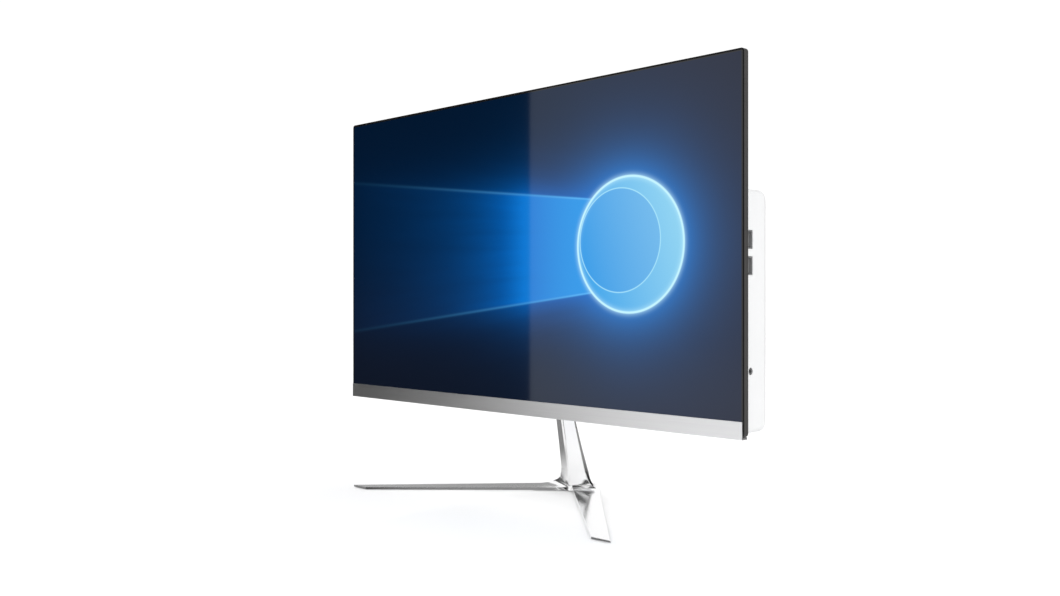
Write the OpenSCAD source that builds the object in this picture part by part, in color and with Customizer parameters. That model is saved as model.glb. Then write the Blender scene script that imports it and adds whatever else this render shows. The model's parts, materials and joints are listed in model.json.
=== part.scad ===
// All-in-one desktop computer: a thin display with the computer in a shallow rear
// housing, carried on a polished V-shaped stand. Millimetres.
// X runs to the right as seen from the front, Y to the back, Z up; the desk is z = 0.

/* [Display] */
// Overall width of the display
display_w = 532; // [530:1:534]
// Height of the display's top edge above the desk
display_top = 400.5; // [400:0.5:404]
// Height of the chin's underside above the desk
chin_bottom = 86.7; // [86:0.1:87]
// Height of the silver chin
chin_h = 14.6; // [13:0.1:17]
// How far the chin stands in front of the glass
chin_proud = 1.3; // [1:0.1:2]
// Depth of the black frame around the panel
frame_depth = 6.3; // [6.2:0.1:6.5]

/* [Rear housing] */
// Width of the thick part of the rear cover
bump_w = 524; // [522:1:525]
// Height of the top of the thick part above the desk
bump_top = 289.3; // [289:0.1:292]
// Depth of the thick part behind the frame
bump_depth = 39.7; // [39.7:0.1:42]
// Radius of the rear cover's back edges
edge_r = 12; // [8:1:14]
// Wall thickness of the rear cover
cover_wall = 2.5; // [2:0.1:2.5]
// Distance between neighbouring vent slots
vent_pitch = 5; // [4.5:0.5:8]

/* [Stand] */
// Height of the tilt axis above the desk
pivot_z = 205; // [204:1:206]
// Radius of the tilt axle
axle_r = 4; // [3.5:0.1:4.2]
// Lean of the neck from upright, in degrees
neck_lean = 10.1; // [9.5:0.1:10.5]
// Width across the outer tips of the two legs
foot_w = 357.6; // [340:1:370]
// How far the leg tips reach in front of the origin
foot_front = 90; // [85:1:90]
// How far the rounded hub reaches behind the origin
hub_back = 90; // [89:1:91]

/* [Interfaces] */
// Spacing of the square wall-mount pattern
wall_mount_pitch = 100; // [100]
// Radius of each wall-mount hole
mount_hole_r = 2.2; // [2.1:0.1:2.4]
// Radius of the headphone socket's bore
jack_r = 1.8; // [1.78:0.01:1.85]

/* [Hidden] */
$fn = 48;

// Planes from front to back: each layer of the panel lies on the next one.
glass_y = -29;
cell_y = glass_y + 0.9;
films_y = cell_y + 1.1;
guide_y = films_y + 0.5;
mirror_y = guide_y + 1.8;
tray_y = mirror_y + 0.2;
flange_y = tray_y + 0.8;
frame_back = glass_y + frame_depth;
thin_back = frame_back + 4.2;
chassis_y = [-18, -17];
board_y = [-13, -11.4];
back_y = frame_back + bump_depth;
inner_back = back_y - cover_wall;
io_y = [7, 8];

// Heights
chin_top = chin_bottom + chin_h;
chin_sole = 2;
frame_bottom = chin_bottom + chin_sole;
frame_wall = 1.2;
frame_h = display_top - frame_bottom;
frame_mid = (display_top + frame_bottom) / 2;
bump_bottom = 90;
bump_h = bump_top - bump_bottom;
bump_mid = (bump_top + bump_bottom) / 2;
floor_z = bump_bottom + cover_wall;

// Places inside the housing, as [x, z] seen from the front
pivot_y = 8;
mount_z = 190;
wall_mount_at = [for (x = [-1, 1], z = [-1, 1]) [x, z] * wall_mount_pitch / 2 + [0, mount_z]];
blower_at = [102, 221];
cpu_at = [-120, 221];
pipe_x = [-126, -114];
pipe_z = [277, 267];
pipe_y = -1;
fins_x = [62, 142];
fins_z = [262.5, 282.5];
cover_screw_at = [[-190, 277], [190, 277], [-128, 104], [0, 104], [128, 104]];
board_screw_at = [[-224, 136], [-66, 136], [-225, 200], [-66, 200], [-196, 265], [-66, 264]];
side_screw_at = [[233, 136], [233, 196], [233, 258]];
bracket_screw_at = [for (x = [-39, 39], z = [183, 227]) [x, z]];
side_usb_z = [226.5, 247.8];
side_port_y = -14;
jack_at = [-13.4, 140.8];
button_at = [236, 0];
button_r = 5;
sliding_gap = 0.04;
running_gap = 0.05;

// Stand
sole_z = 0.6;
leg_top = 5.6;
leg_tip_top = 3;
crotch_y = 58;
tip_w = 21.8;
leg_sum = 97;
hub_r = (leg_sum - hub_back) / (sqrt(2) - 1);
seam_z = 22;
crease_y = 51.3;
neck_top = 178;
pad_at = [[0, 76, 7], [-162, -80, 4], [162, -80, 4]];
foot_screw_x = 7;
foot_screw_y = 61;

// ---- helpers -------------------------------------------------------------------------------

module block(x, y, z) translate([x[0], y[0], z[0]]) cube([x[1] - x[0], y[1] - y[0], z[1] - z[0]]);
module rod_x(x, y, z, r) translate([x[0], y, z]) rotate([0, 90, 0]) cylinder(h = x[1] - x[0], r = r);
module rod_y(x, y, z, r) translate([x, y[1], z]) rotate([90, 0, 0]) cylinder(h = y[1] - y[0], r = r);
module rod_z(x, y, z, r) translate([x, y, z[0]]) cylinder(h = z[1] - z[0], r = r);

module round_rect(w, h, r) {
    square([w - 2 * r, h], center = true);
    square([w, h - 2 * r], center = true);
    for (sx = [-1, 1], sz = [-1, 1]) translate([sx * (w / 2 - r), sz * (h / 2 - r)]) circle(r);
}

// An upright plate with rounded corners, from y[0] to y[1]
module plate(w, h, r, y, x = 0, z = 0)
    translate([x, y[1], z]) rotate([90, 0, 0]) linear_extrude(y[1] - y[0]) round_rect(w, h, r);

// A slot with round ends, long in Z and cut along Y
module tall_slot(x, z, w, h, y)
    translate([x, y[1], z]) rotate([90, 0, 0]) linear_extrude(y[1] - y[0]) {
        square([w, h - w], center = true);
        for (s = [-1, 1]) translate([0, s * (h - w) / 2]) circle(w / 2);
    }

// A solid through closed rings of the same length, listed from the bottom up
module loft(rings) {
    n = len(rings[0]);
    top = len(rings) - 1;
    lower_half = [for (k = [0:top - 1], i = [0:n - 1]) let (j = (i + 1) % n)
        [k * n + i, (k + 1) * n + i, (k + 1) * n + j]];
    upper_half = [for (k = [0:top - 1], i = [0:n - 1]) let (j = (i + 1) % n)
        [k * n + i, (k + 1) * n + j, k * n + j]];
    ends = [[for (i = [0:n - 1]) i], [for (i = [n - 1:-1:0]) top * n + i]];
    polyhedron([for (ring = rings) each ring], concat(lower_half, upper_half, ends));
}

// ---- panel ---------------------------------------------------------------------------------

module layer(w, z, y, r) plate(w, z[1] - z[0], r, y, 0, (z[0] + z[1]) / 2);

pocket_w = display_w - 2 * frame_wall;
pocket_z = [frame_bottom + frame_wall, display_top - frame_wall];
light_w = pocket_w - 4.6;
light_z = [pocket_z[0] + 2.8, pocket_z[1] - 2.3];

module cover_glass() color("#101114")
    layer(pocket_w - 0.4, [pocket_z[0] + 0.2, pocket_z[1] - 0.2], [glass_y, cell_y], 1.6);

module lcd_panel() color("#16223c")
    layer(pocket_w - 0.8, [pocket_z[0] + 0.4, pocket_z[1] - 0.4], [cell_y, films_y], 1);

module optical_films() color("#e8eef2") layer(light_w, light_z, [films_y, guide_y], 0.8);

module light_guide() color("#dff1f4") layer(light_w, light_z, [guide_y, mirror_y], 0.8);

module reflector_sheet() color("white") layer(light_w, light_z, [mirror_y, tray_y], 0.8);

// A strip of light emitters along the bottom edge of the light guide
module backlight_bar() color("#f3f3e6") {
    bar_z = [pocket_z[0] + 0.3, light_z[0] - 0.8];
    block([-255, 255], [guide_y, mirror_y], bar_z);
    for (i = [-30:30])
        block([8 * i - 2, 8 * i + 2], [guide_y + 0.2, mirror_y - 0.2], [bar_z[1], bar_z[1] + 0.6]);
}

// Pressed steel tray behind the optical stack
module panel_back_plate() color("#9a9d9f") difference() {
    layer(light_w, [pocket_z[0] + 0.3, light_z[1]], [tray_y, flange_y], 0.8);
    for (s = [-1, 1]) block([s * 150 - 4, s * 150 + 4], [tray_y - 1, flange_y + 1], [300, 312]);
}

module panel_control_board() color("#1d6b3a") {
    block([-150, 150], [flange_y, flange_y + 1], [99, 116]);
    for (x = [-120:40:120]) block([x - 5, x + 5], [flange_y + 1, flange_y + 2], [103, 111]);
}

// Black frame: thin walls around the glass and a flange behind the panel
module mid_frame() color("#17181a") difference() {
    plate(display_w, frame_h, 3, [glass_y, frame_back], 0, frame_mid);
    layer(pocket_w, pocket_z, [glass_y - 1, films_y], 1.8);
    layer(light_w + 0.4, [pocket_z[0] + 0.2, light_z[1] + 0.2], [films_y - 1, flange_y], 1);
    block([-250, 250], [flange_y - 1, frame_back + 1], [frame_bottom + 5, display_top - 10]);
}

// Silver chin: an angle that covers the foot of the glass and wraps under the frame
module chin_bar() color("silver") {
    half = display_w / 2;
    block([-half, half], [glass_y - chin_proud, glass_y], [chin_bottom, chin_top]);
    block([-half, half], [glass_y, frame_back], [chin_bottom, frame_bottom]);
}

// ---- chassis and rear housing ----------------------------------------------------------------

chassis_half = 240;
chassis_z = [95, 284];

// Sheet-metal pan that carries the computer, with its rim folded forward onto the panel tray
module main_chassis() color("#b4b7b9") {
    t = chassis_y[1] - chassis_y[0];
    difference() {
        block([-chassis_half, chassis_half], [flange_y, chassis_y[1]], chassis_z);
        block([-chassis_half + t, chassis_half - t], [flange_y - 1, chassis_y[0]],
            [chassis_z[0] + t, chassis_z[1] - t]);
        for (p = cover_screw_at) rod_y(p[0], [-20, -10], p[1], 1.6);
        for (p = bracket_screw_at) rod_y(p[0], [-20, -10], p[1], 2.1);
        block([-104, -84], [-20, -10], [106, 111]);
        for (x = [-200:50:200]) if (abs(x) > 60) tall_slot(x, 145, 18, 26, [-20, -10]);
        for (x = [-26, 26]) tall_slot(x, 140, 14, 34, [-20, -10]);
    }
}

// A rectangle along Y, its two back corners round
module back_edges(half, y, r) {
    translate([y[0], -half]) square([y[1] - r - y[0], 2 * half]);
    translate([y[0], -half + r]) square([y[1] - y[0], 2 * (half - r)]);
    for (s = [-1, 1]) translate([y[1] - r, s * (half - r)]) circle(r);
}

// The thick part of the housing, shrunk by inset on every side and run forward by extra
module bump(inset, extra) {
    half = bump_w / 2 - inset;
    y = [frame_back - extra, back_y - inset];
    intersection() {
        plate(2 * half, bump_h - 2 * inset, 4 - inset / 2, y, 0, bump_mid);
        translate([0, 0, bump_bottom - 1]) linear_extrude(bump_h + 2) rotate(90)
            back_edges(half, y, edge_r - inset);
        translate([-half - 1, 0, bump_mid]) rotate([90, 0, 90]) linear_extrude(2 * half + 2)
            back_edges(bump_h / 2 - inset, y, edge_r - inset);
    }
}

// The flat upper part of the cover, behind the panel alone
module thin_cover(inset, y) {
    z = [bump_mid, display_top - 2.5];
    plate(display_w - 5 - 2 * inset, z[1] - z[0] - 2 * inset, 6 - inset, y, 0, (z[0] + z[1]) / 2);
}

module vent_slots() {
    // Outlet above the fins, matched on the other side
    for (s = [-1, 1], i = [0:15]) {
        x = s * (fins_x[0] + 2.5 + i * vent_pitch);
        block([x - 1.2, x + 1.2], [-9, 3], [bump_top - 5, bump_top + 1]);
    }
    // Inlet fields on the back
    for (s = [-1, 1], i = [-6:6], z = [209, 235])
        tall_slot(s * blower_at[0] + i * vent_pitch, z, 2.4, 22, [inner_back - 1, back_y + 1]);
    // Sound slots underneath
    for (s = [-1, 1], i = [-7:7]) {
        x = s * 180 + i * 4;
        block([x - 1, x + 1], [-12, 2], [bump_bottom - 1, floor_z + 1]);
    }
}

// White plastic cover: a thin sheet behind the panel and a hollow housing for the computer
module rear_cover() color("#eceef0") difference() {
    union() {
        difference() {
            union() {
                thin_cover(0, [frame_back, thin_back]);
                bump(0, 0);
            }
            thin_cover(2, [frame_back - 1, thin_back - 2]);
            bump(cover_wall, 1);
        }
        for (p = cover_screw_at) rod_y(p[0], [chassis_y[1], back_y - 1], p[1], 4.5);
    }
    for (p = cover_screw_at) {
        rod_y(p[0], [chassis_y[1] - 1, back_y], p[1], 1.7);
        rod_y(p[0], [-11, back_y + 1], p[1], 3.3);
    }
    vent_slots();
    for (p = wall_mount_at) rod_y(p[0], [inner_back - 1, back_y + 1], p[1], 5.2);
    block([-20, 20], [inner_back - 1, back_y + 1], [pivot_z - 39, pivot_z + 31]);
    block([-216, -74], [inner_back - 1, back_y + 1], [132, 156]);
    for (z = side_usb_z) block([bump_w / 2 - 4, bump_w / 2 + 1], [side_port_y - 3.5, side_port_y + 3.5],
        [z - 7.7, z + 7.7]);
    rod_x([bump_w / 2 - 4, bump_w / 2 + 1], jack_at[0], jack_at[1], 3.1);
    rod_z(button_at[0], button_at[1], [bump_bottom - 1, floor_z + 1], button_r + sliding_gap);
    block([-bump_w / 2 - 1, -bump_w / 2 + 4], [-9, -2], [110.5, 113.5]);
}

module cover_screws() color("#55585a") for (p = cover_screw_at) {
    rod_y(p[0], [-20, -11], p[1], 1.5);
    rod_y(p[0], [-11, -9], p[1], 2.8);
}

// Threaded posts that take the wall-mount bolts, riveted to the chassis
module wall_mount_posts() color("#8f9295") for (p = wall_mount_at) difference() {
    rod_y(p[0], [chassis_y[1], back_y], p[1], 5);
    rod_y(p[0], [back_y - 12, back_y + 1], p[1], mount_hole_r);
}

// Steel plate behind the cover's slot for a security lock
module lock_slot_plate() color("#7d8083") {
    x = -bump_w / 2 + cover_wall;
    difference() {
        block([x, x + 1.5], [-16, 5], [100, 124]);
        block([x - 1, x + 3], [-9, -2], [110.5, 113.5]);
    }
}

// ---- computer ------------------------------------------------------------------------------

module motherboard() color("#14532f") difference() {
    block([-228, -62], board_y, [132, 268]);
    for (p = board_screw_at) rod_y(p[0], [-14, -10], p[1], 1.7);
}

module board_standoffs() color("#c9a94f") {
    for (p = board_screw_at) difference() {
        rod_y(p[0], [chassis_y[1], board_y[0]], p[1], 2.8);
        rod_y(p[0], [chassis_y[1] + 0.5, board_y[0] + 1], p[1], 1.6);
    }
    for (p = side_screw_at) difference() {
        rod_y(p[0], [chassis_y[1], side_port_y + 3.4], p[1], 2.8);
        rod_y(p[0], [chassis_y[1] + 0.5, side_port_y + 4], p[1], 1.6);
    }
}

module board_screws() color("#c7cacc") {
    for (p = board_screw_at) {
        rod_y(p[0], [-16, board_y[1]], p[1], 1.5);
        rod_y(p[0], [board_y[1], board_y[1] + 1.8], p[1], 2.7);
    }
    for (p = side_screw_at) {
        rod_y(p[0], [-16, side_port_y + 4.8], p[1], 1.5);
        rod_y(p[0], [side_port_y + 4.8, side_port_y + 6.4], p[1], 2.7);
    }
}

module board_chips() color("#202326") {
    block([-90, -74], [board_y[1], -9.8], [196, 212]);
    for (i = [0:4]) block([-162, -155], [board_y[1], -7.4], [204 + i * 8.5, 210.5 + i * 8.5]);
    for (i = [0:4]) rod_y(-169, [board_y[1], -5.4], 207 + i * 8.5, 2.8);
    for (i = [0:3]) block([-94 + i * 7, -89 + i * 7], [board_y[1], -10.2], [228, 236]);
}

// Memory, storage, radio and coin-cell holders
module board_sockets() color("#2b2d31") {
    for (y = [board_y[1], -4.6]) difference() {
        block([-174, -102], [y, y + 4.4], [157, 164]);
        block([-172.2, -103.8], [y + 1.3, y + 2.7], [160, 165]);
    }
    for (x = [-174, -104]) block([x, x + 2], [-7, -4.6], [157, 164]);
    difference() {
        block([-223.5, -198.5], [board_y[1], -7.2], [158, 163]);
        block([-222, -200], [-9.9, -8.9], [160, 164]);
    }
    difference() {
        block([-222, -217], [board_y[1], -7.2], [241, 262.5]);
        block([-219.5, -216], [-9.9, -8.9], [242, 261.5]);
    }
    difference() {
        rod_y(-180, [board_y[1], -7.6], 253, 11);
        rod_y(-180, [-10.8, -7], 253, 10.1);
    }
}

module processor() color("#3c6b4a") {
    block([cpu_at[0] - 19, cpu_at[0] + 19], [board_y[1], -10.2], [cpu_at[1] - 19, cpu_at[1] + 19]);
    plate(27, 27, 2, [-10.2, -7], cpu_at[0], cpu_at[1]);
}

// Two modules one above the other, each with its row of memory chips
module memory_modules() color("#1c7a45") for (y = [-10, -3.2]) {
    block([-171.8, -104.2], [y, y + 1.2], [160.2, 190]);
    for (i = [0:3]) block([-168 + i * 16, -156 + i * 16], [y + 1.2, y + 2.2], [172, 184]);
}

module solid_state_drive() color("#23262b") {
    block([-221.8, -200.2], [-9.8, -9], [160.2, 238]);
    for (z = [168, 190, 212]) block([-218, -204], [-9, -7.8], [z, z + 17]);
}

module wireless_card() color("#2a5e86") {
    block([-219.3, -192], [-9.8, -9], [242.2, 261.3]);
    plate(16, 14, 1, [-9, -7.4], -206, 252.5);
}

module coin_cell() color("#c4c7c9") rod_y(-180, [-10.8, -7.7], 253, 10);

// Flat aerials inside the back wall, each with its lead to the wireless card
module antennas() color("#d9b36a") {
    for (x = [[-240, -202], [-199, -166]]) block(x, [inner_back - 0.6, inner_back], [256, 268]);
    for (p = [[-209, -7.4], [-196, -9]]) rod_y(p[0], [p[1], inner_back - 0.6], 257, 0.6);
}

// Copper plate on the processor
module cold_plate() color("#b8734a") difference() {
    plate(46, 44, 3, [-7, -3], cpu_at[0], cpu_at[1]);
    for (x = pipe_x) rod_z(x, pipe_y, [150, 300], 3);
}

// Two round pipes from the cold plate, up and across to the fins
module heat_pipes() color("#c07a4e") for (i = [0, 1]) {
    bend = 12;
    rod_z(pipe_x[i], pipe_y, [cpu_at[1] - 18, pipe_z[i] - bend], 3);
    translate([pipe_x[i] + bend, pipe_y, pipe_z[i] - bend]) rotate([90, 0, 0])
        intersection() {
            rotate_extrude() translate([bend, 0]) circle(3);
            translate([-bend - 4, 0, -4]) cube([bend + 4, bend + 4, 8]);
        }
    rod_x([pipe_x[i] + bend, fins_x[1]], pipe_y, pipe_z[i], 3);
}

module fin_stack() color("#b9bdc0") difference() {
    union() {
        for (x = [fins_x[0]:2.5:fins_x[1]]) block([x, x + 0.4], [-12, 10], fins_z);
        block([fins_x[0], fins_x[1] + 0.4], [-13, -12], fins_z);
        for (x = [fins_x[0] + 5, fins_x[1] - 5]) rod_y(x, [chassis_y[1], -12.5], fins_z[0] + 5, 3);
    }
    for (z = pipe_z) rod_x([fins_x[0] - 1, fins_x[1] + 1], pipe_y, z, 3);
}

scroll_r = 40;
blower_y = [-10, 10];

// Seen along the axle: a round scroll with a straight outlet upward
module scroll_outline(inset) {
    circle(scroll_r - inset);
    translate([-scroll_r + inset, 0]) square([2 * (scroll_r - inset), fins_z[0] - blower_at[1]]);
}

module along_axle(y) translate([blower_at[0], y[1], blower_at[1]]) rotate([90, 0, 0])
    linear_extrude(y[1] - y[0]) children();

module blower_housing() color("#26282b") difference() {
    union() {
        difference() {
            along_axle(blower_y) scroll_outline(0);
            along_axle([blower_y[0] + 1.2, blower_y[1] + 1]) {
                scroll_outline(1.5);
                translate([-scroll_r + 1.5, 20]) square([2 * scroll_r - 3, 30]);
            }
        }
        rod_y(blower_at[0], [blower_y[0], 0], blower_at[1], 4.8);
        for (a = [30:120:270]) rod_y(blower_at[0] + 34 * cos(a), [chassis_y[1], blower_y[0]],
            blower_at[1] - 34 * sin(a), 3);
    }
    rod_y(blower_at[0], [blower_y[0] + 1.2, 1], blower_at[1], 3);
}

module blower_cover() color("#2d3033") difference() {
    along_axle([blower_y[1], blower_y[1] + 1.2]) scroll_outline(0);
    rod_y(blower_at[0], [blower_y[1] - 1, blower_y[1] + 3], blower_at[1], 24);
}

module blower_bearing() color("#c9a04a") difference() {
    rod_y(blower_at[0], [blower_y[0] + 1.2, 0], blower_at[1], 3);
    rod_y(blower_at[0], [blower_y[0], 1], blower_at[1], 1.5 + running_gap);
}

module blower_stator() color("#a8642f") difference() {
    rod_y(blower_at[0], [blower_y[0] + 1.2, 3], blower_at[1], 11);
    rod_y(blower_at[0], [blower_y[0], 4], blower_at[1], 4.8);
}

// Cup, blades and shaft of the cooling fan
module blower_impeller() color("#3a3d41") {
    rod_y(blower_at[0], [blower_y[0] + 2, 6], blower_at[1], 1.5);
    rod_y(blower_at[0], [5.5, 7.5], blower_at[1], 14);
    difference() {
        rod_y(blower_at[0], [-6.5, 6], blower_at[1], 14);
        rod_y(blower_at[0], [-7, 5.5], blower_at[1], 12);
    }
    for (i = [0:22]) translate([blower_at[0], 0, blower_at[1]]) rotate([0, i * 360 / 23, 0])
        translate([13, 0, 0]) rotate([0, 24, 0]) block([0, 20], [-6, 6.5], [-0.5, 0.5]);
}

module drive_caddy() color("#a9adb0") {
    block([147, 223], [-14, -13], [150, 250]);
    for (x = [147, 222]) block([x, x + 1], [-14, -5], [150, 250]);
    for (x = [155, 215], z = [160, 240]) rod_y(x, [chassis_y[1], -14], z, 3);
}

module hard_drive() color("#8a8e92") {
    plate(69.8, 99.5, 2, [-13, -6.4], 185, 200);
    plate(60, 84, 6, [-6.4, -6], 185, 204);
}

module speaker_boxes() color("#1b1c1e") for (s = [-1, 1]) translate([s * 180, 0, 0]) difference() {
    block([-38, 38], [chassis_y[1], 4], [floor_z, 126]);
    block([-36.5, 36.5], [-15.5, 2.5], [floor_z + 1.5, 124.5]);
    for (x = [-18, 18]) rod_z(x, -6.5, [floor_z - 1, floor_z + 2], 8);
}

// Two small drivers on each side: basket, cone and magnet
module speaker_drivers() color("#3b3d40") for (x = [-198, -162, 162, 198]) translate([x, -6.5, floor_z])
    rotate_extrude() polygon([[0, 5], [3, 5], [7.9, 0.2], [7.9, 1.5], [8.6, 1.5], [8.6, 3], [7, 8],
        [6, 12], [0, 12]]);

module lead(x, z, y, top) {
    r = 0.8;
    rod_x([min(x), max(x)], y, z, r);
    translate([x[1], y, z]) sphere(r);
    rod_z(x[1], y, [z, top], r);
}

module speaker_leads() color("#b23a36") {
    lead([142, -80], 130.5, -16.2, 134);
    lead([-142, -112], 120, -16.2, 134);
    for (x = [-112, -80]) block([x - 3, x + 3], [-17, board_y[0]], [134, 138]);
}

// Flat ribbon from the motherboard through the chassis to the panel's board
module display_cable() color("#3f4246") {
    block([-100, -88], [-17, -16.4], [109.4, 134]);
    block([-100, -88], [flange_y + 2, -16.4], [108.8, 109.4]);
    block([-101, -87], [flange_y + 1, flange_y + 3], [104, 108.8]);
    block([-101, -87], [-17, board_y[0]], [134, 140]);
}

// ---- sockets on the edges ----------------------------------------------------------------------

side_board_y = [side_port_y + 3.4, side_port_y + 4.8];
side_x = bump_w / 2;

module side_io_board() color("#14532f") difference() {
    block([228, 258], side_board_y, [130, 263]);
    for (p = side_screw_at) rod_y(p[0], [side_board_y[0] - 1, side_board_y[1] + 1], p[1], 1.7);
}

module side_usb_ports() color("#8d9194") for (z = side_usb_z) translate([side_x - 7, side_port_y, z]) {
    difference() {
        cube([14, 6.8, 14.8], center = true);
        translate([1.5, 0, 0]) cube([14, 5.4, 13], center = true);
    }
    translate([-0.5, 1.2, 0]) cube([11, 1.6, 11.4], center = true);
}

module headphone_jack() color("#2c2e31") difference() {
    union() {
        block([side_x - 16, side_x - 3], [jack_at[0] - 2.8, side_board_y[0]],
            [jack_at[1] - 3, jack_at[1] + 3]);
        rod_x([side_x - 4, side_x - 0.2], jack_at[0], jack_at[1], 2.9);
    }
    rod_x([side_x - 14.2, side_x + 1], jack_at[0], jack_at[1], jack_r);
}

// A shallow tray behind the cover's window, pierced for the rear sockets
module rear_io_plate() color("#a6a9ac") difference() {
    block([-218, -72], [io_y[0], inner_back], [130, 158]);
    block([-217, -73], [io_y[1], inner_back + 1], [131, 157]);
    rod_y(-204, [io_y[0] - 1, io_y[1] + 1], 144, 4.7);
    block([-192.7, -176.3], [io_y[0] - 1, io_y[1] + 1], [139.8, 148.2]);
    block([-168.2, -151.8], [io_y[0] - 1, io_y[1] + 1], [136.8, 151.2]);
    for (x = [-132, -104]) block([x - 7.4, x + 7.4], [io_y[0] - 1, io_y[1] + 1], [135.3, 152.7]);
}

module socket_body(x, z, hollow_x, hollow_z, depth) difference() {
    block(x, [board_y[1], io_y[1] + 0.4], z);
    block(hollow_x, [io_y[1] - depth, io_y[1] + 2], hollow_z);
}

// Round power inlet with its centre pin
module dc_inlet() color("#1f2022") {
    difference() {
        union() {
            block([-209, -199], [board_y[1], io_y[0]], [138, 150]);
            rod_y(-204, [io_y[0] - 1, io_y[1] + 0.4], 144, 4.5);
        }
        rod_y(-204, [io_y[1] - 10, io_y[1] + 1], 144, 2.85);
    }
    rod_y(-204, [io_y[1] - 11, io_y[1] - 1], 144, 0.8);
}

module video_port() color("#9a9da0") {
    socket_body([-192.5, -176.5], [140, 148], [-191.5, -177.5], [141.4, 146.6], 9);
    block([-190, -179], [io_y[1] - 9.5, io_y[1] - 1], [143.4, 144.4]);
}

module network_port() color("#b5b8ba")
    socket_body([-168, -152], [137, 151], [-166, -154], [139, 149], 12);

module rear_usb_ports() color("#a3a6a8") for (x = [-132, -104]) {
    difference() {
        block([x - 7.2, x + 7.2], [board_y[1], io_y[1] + 0.4], [135.5, 152.5]);
        for (z = [139.6, 148.4]) block([x - 6.3, x + 6.3], [io_y[1] - 9, io_y[1] + 2], [z - 2.7, z + 2.7]);
    }
    for (z = [139.6, 148.4]) block([x - 5.6, x + 5.6], [io_y[1] - 9.5, io_y[1] - 1], [z + 0.4, z + 2]);
}

// Switch, light and their little board above the power button
module button_board() color("#1d6b3a") {
    x = button_at[0];
    block([x - 11, x + 11], [-6, 6], [97.5, 98.8]);
    block([x - 3, x + 3], [-3, 3], [94.8, 97.5]);
    block([x + 6.8, x + 8.8], [-1, 1], [96.3, 97.5]);
    for (s = [-1, 1]) rod_z(x + s * 9, 4, [floor_z, 97.5], 1.5);
}

// Round push button underneath, with a flange that keeps it in the cover
module power_button() color("#d9dcde") {
    rod_z(button_at[0], button_at[1], [bump_bottom - 1.2, 93.6], button_r);
    rod_z(button_at[0], button_at[1], [floor_z + 0.35, 93.6], 6.4);
}

// ---- hinge and stand -----------------------------------------------------------------------

module hinge_bracket() color("#6d7073") difference() {
    union() {
        block([-45, 45], [chassis_y[1], -14.5], [pivot_z - 29, pivot_z + 29]);
        for (s = [-1, 1]) translate([s * 30.25, 0, 0]) {
            block([-1.25, 1.25], [-15, pivot_y], [pivot_z - 20, pivot_z + 20]);
            rod_x([-1.25, 1.25], pivot_y, pivot_z, 6);
            block([-1.25, 1.25], [-15, pivot_y + 2], [pivot_z - 6, pivot_z + 6]);
        }
    }
    rod_x([-40, 40], pivot_y, pivot_z, axle_r + running_gap);
    for (p = bracket_screw_at) rod_y(p[0], [-18, -14], p[1], 2.1);
}

module hinge_screws() color("#c7cacc") for (p = bracket_screw_at) {
    rod_y(p[0], [-19.5, -14.5], p[1], 2);
    rod_y(p[0], [-14.5, -12.2], p[1], 3.5);
}

module hinge_axle() color("#888b8e") rod_x([-38, 38], pivot_y, pivot_z, axle_r);

// Collars beside the barrel and washers outside the ears
module hinge_spacers() color("#b6a06a") for (s = [-1, 1]) translate([s * 25, 0, 0]) difference() {
    union() {
        rod_x([s > 0 ? -9 : -3.7, s > 0 ? 3.7 : 9], pivot_y, pivot_z, 5.5);
        rod_x([s > 0 ? 6.8 : -8.4, s > 0 ? 8.4 : -6.8], pivot_y, pivot_z, 5.8);
    }
    rod_x([-20, 20], pivot_y, pivot_z, axle_r);
}

module hinge_nuts() color("#c7cacc") for (x = [-37.2, 33.4]) difference() {
    translate([x, pivot_y, pivot_z]) rotate([0, 90, 0]) cylinder(h = 3.8, r = 5.9, $fn = 6);
    rod_x([x - 1, x + 5], pivot_y, pivot_z, axle_r);
}

function crease(z) = crease_y - tan(neck_lean) * (z - seam_z);
function neck_half(z) = lookup(z, [[22, 16.6], [48, 14.3], [74, 12.5], [120, 11], [178, 10.4]]);
function setback(z) = lookup(z, [[22, 7.6], [74, 4.8], [178, 3]]);
function neck_depth(z) = lookup(z, [[22, 14.7], [74, 11], [178, 10]]);

// Ridged front, narrow sides and a flat back, counter-clockwise seen from above
function neck_ring(z, y, half, back, depth, side) = [
    [0, y, z], [half, y + back, z], [half, y + back + side, z], [half * 0.6, y + depth, z],
    [-half * 0.6, y + depth, z], [-half, y + back + side, z], [-half, y + back, z]];

module neck_head() color("#cfd2d4") difference() {
    front = crease(neck_top);
    union() {
        rod_x([-16, 16], pivot_y, pivot_z, 9);
        translate([-10.4, 0, 0]) rotate([90, 0, 90]) linear_extrude(20.8)
            polygon([[front, neck_top], [front + 10, neck_top], [15.2, pivot_z + 5.4],
                [pivot_y, pivot_z], [0.5, pivot_z - 5]]);
    }
    rod_x([-17, 17], pivot_y, pivot_z, axle_r);
}

module stand_neck() color("#d8dbdd") difference() {
    loft([for (z = [seam_z, 48, 74, 120, neck_top])
        neck_ring(z, crease(z), neck_half(z), setback(z), neck_depth(z), lookup(z, [[22, 5.4], [178, 3]]))]);
    for (s = [-1, 1]) rod_z(s * foot_screw_x, foot_screw_y, [seam_z - 1, 34], 2.05);
}

// The foot swells from the neck's section into the two legs
function flare_half(z) = lookup(z, [[5, 30.2], [8, 27.5], [11, 24.7], [14, 21.8], [18, 18.9], [22, 16.6]]);
function flare_mid(z) = lookup(z, [[5, 65.1], [8, 65.8], [11, 65.6], [14, 65.1], [18, 63.6], [22, 61.6]]);
function flare_back(z) = lookup(z, [[5, 82], [8, 77], [11, 73], [14, 70], [18, 67.6], [22, 66]]);

module pedestal() loft([for (z = [5, 8, 11, 14, 18, seam_z])
    neck_ring(z, crease(z), flare_half(z), flare_mid(z) - 2.7 - crease(z), flare_back(z) - crease(z), 5.4)]);

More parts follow.
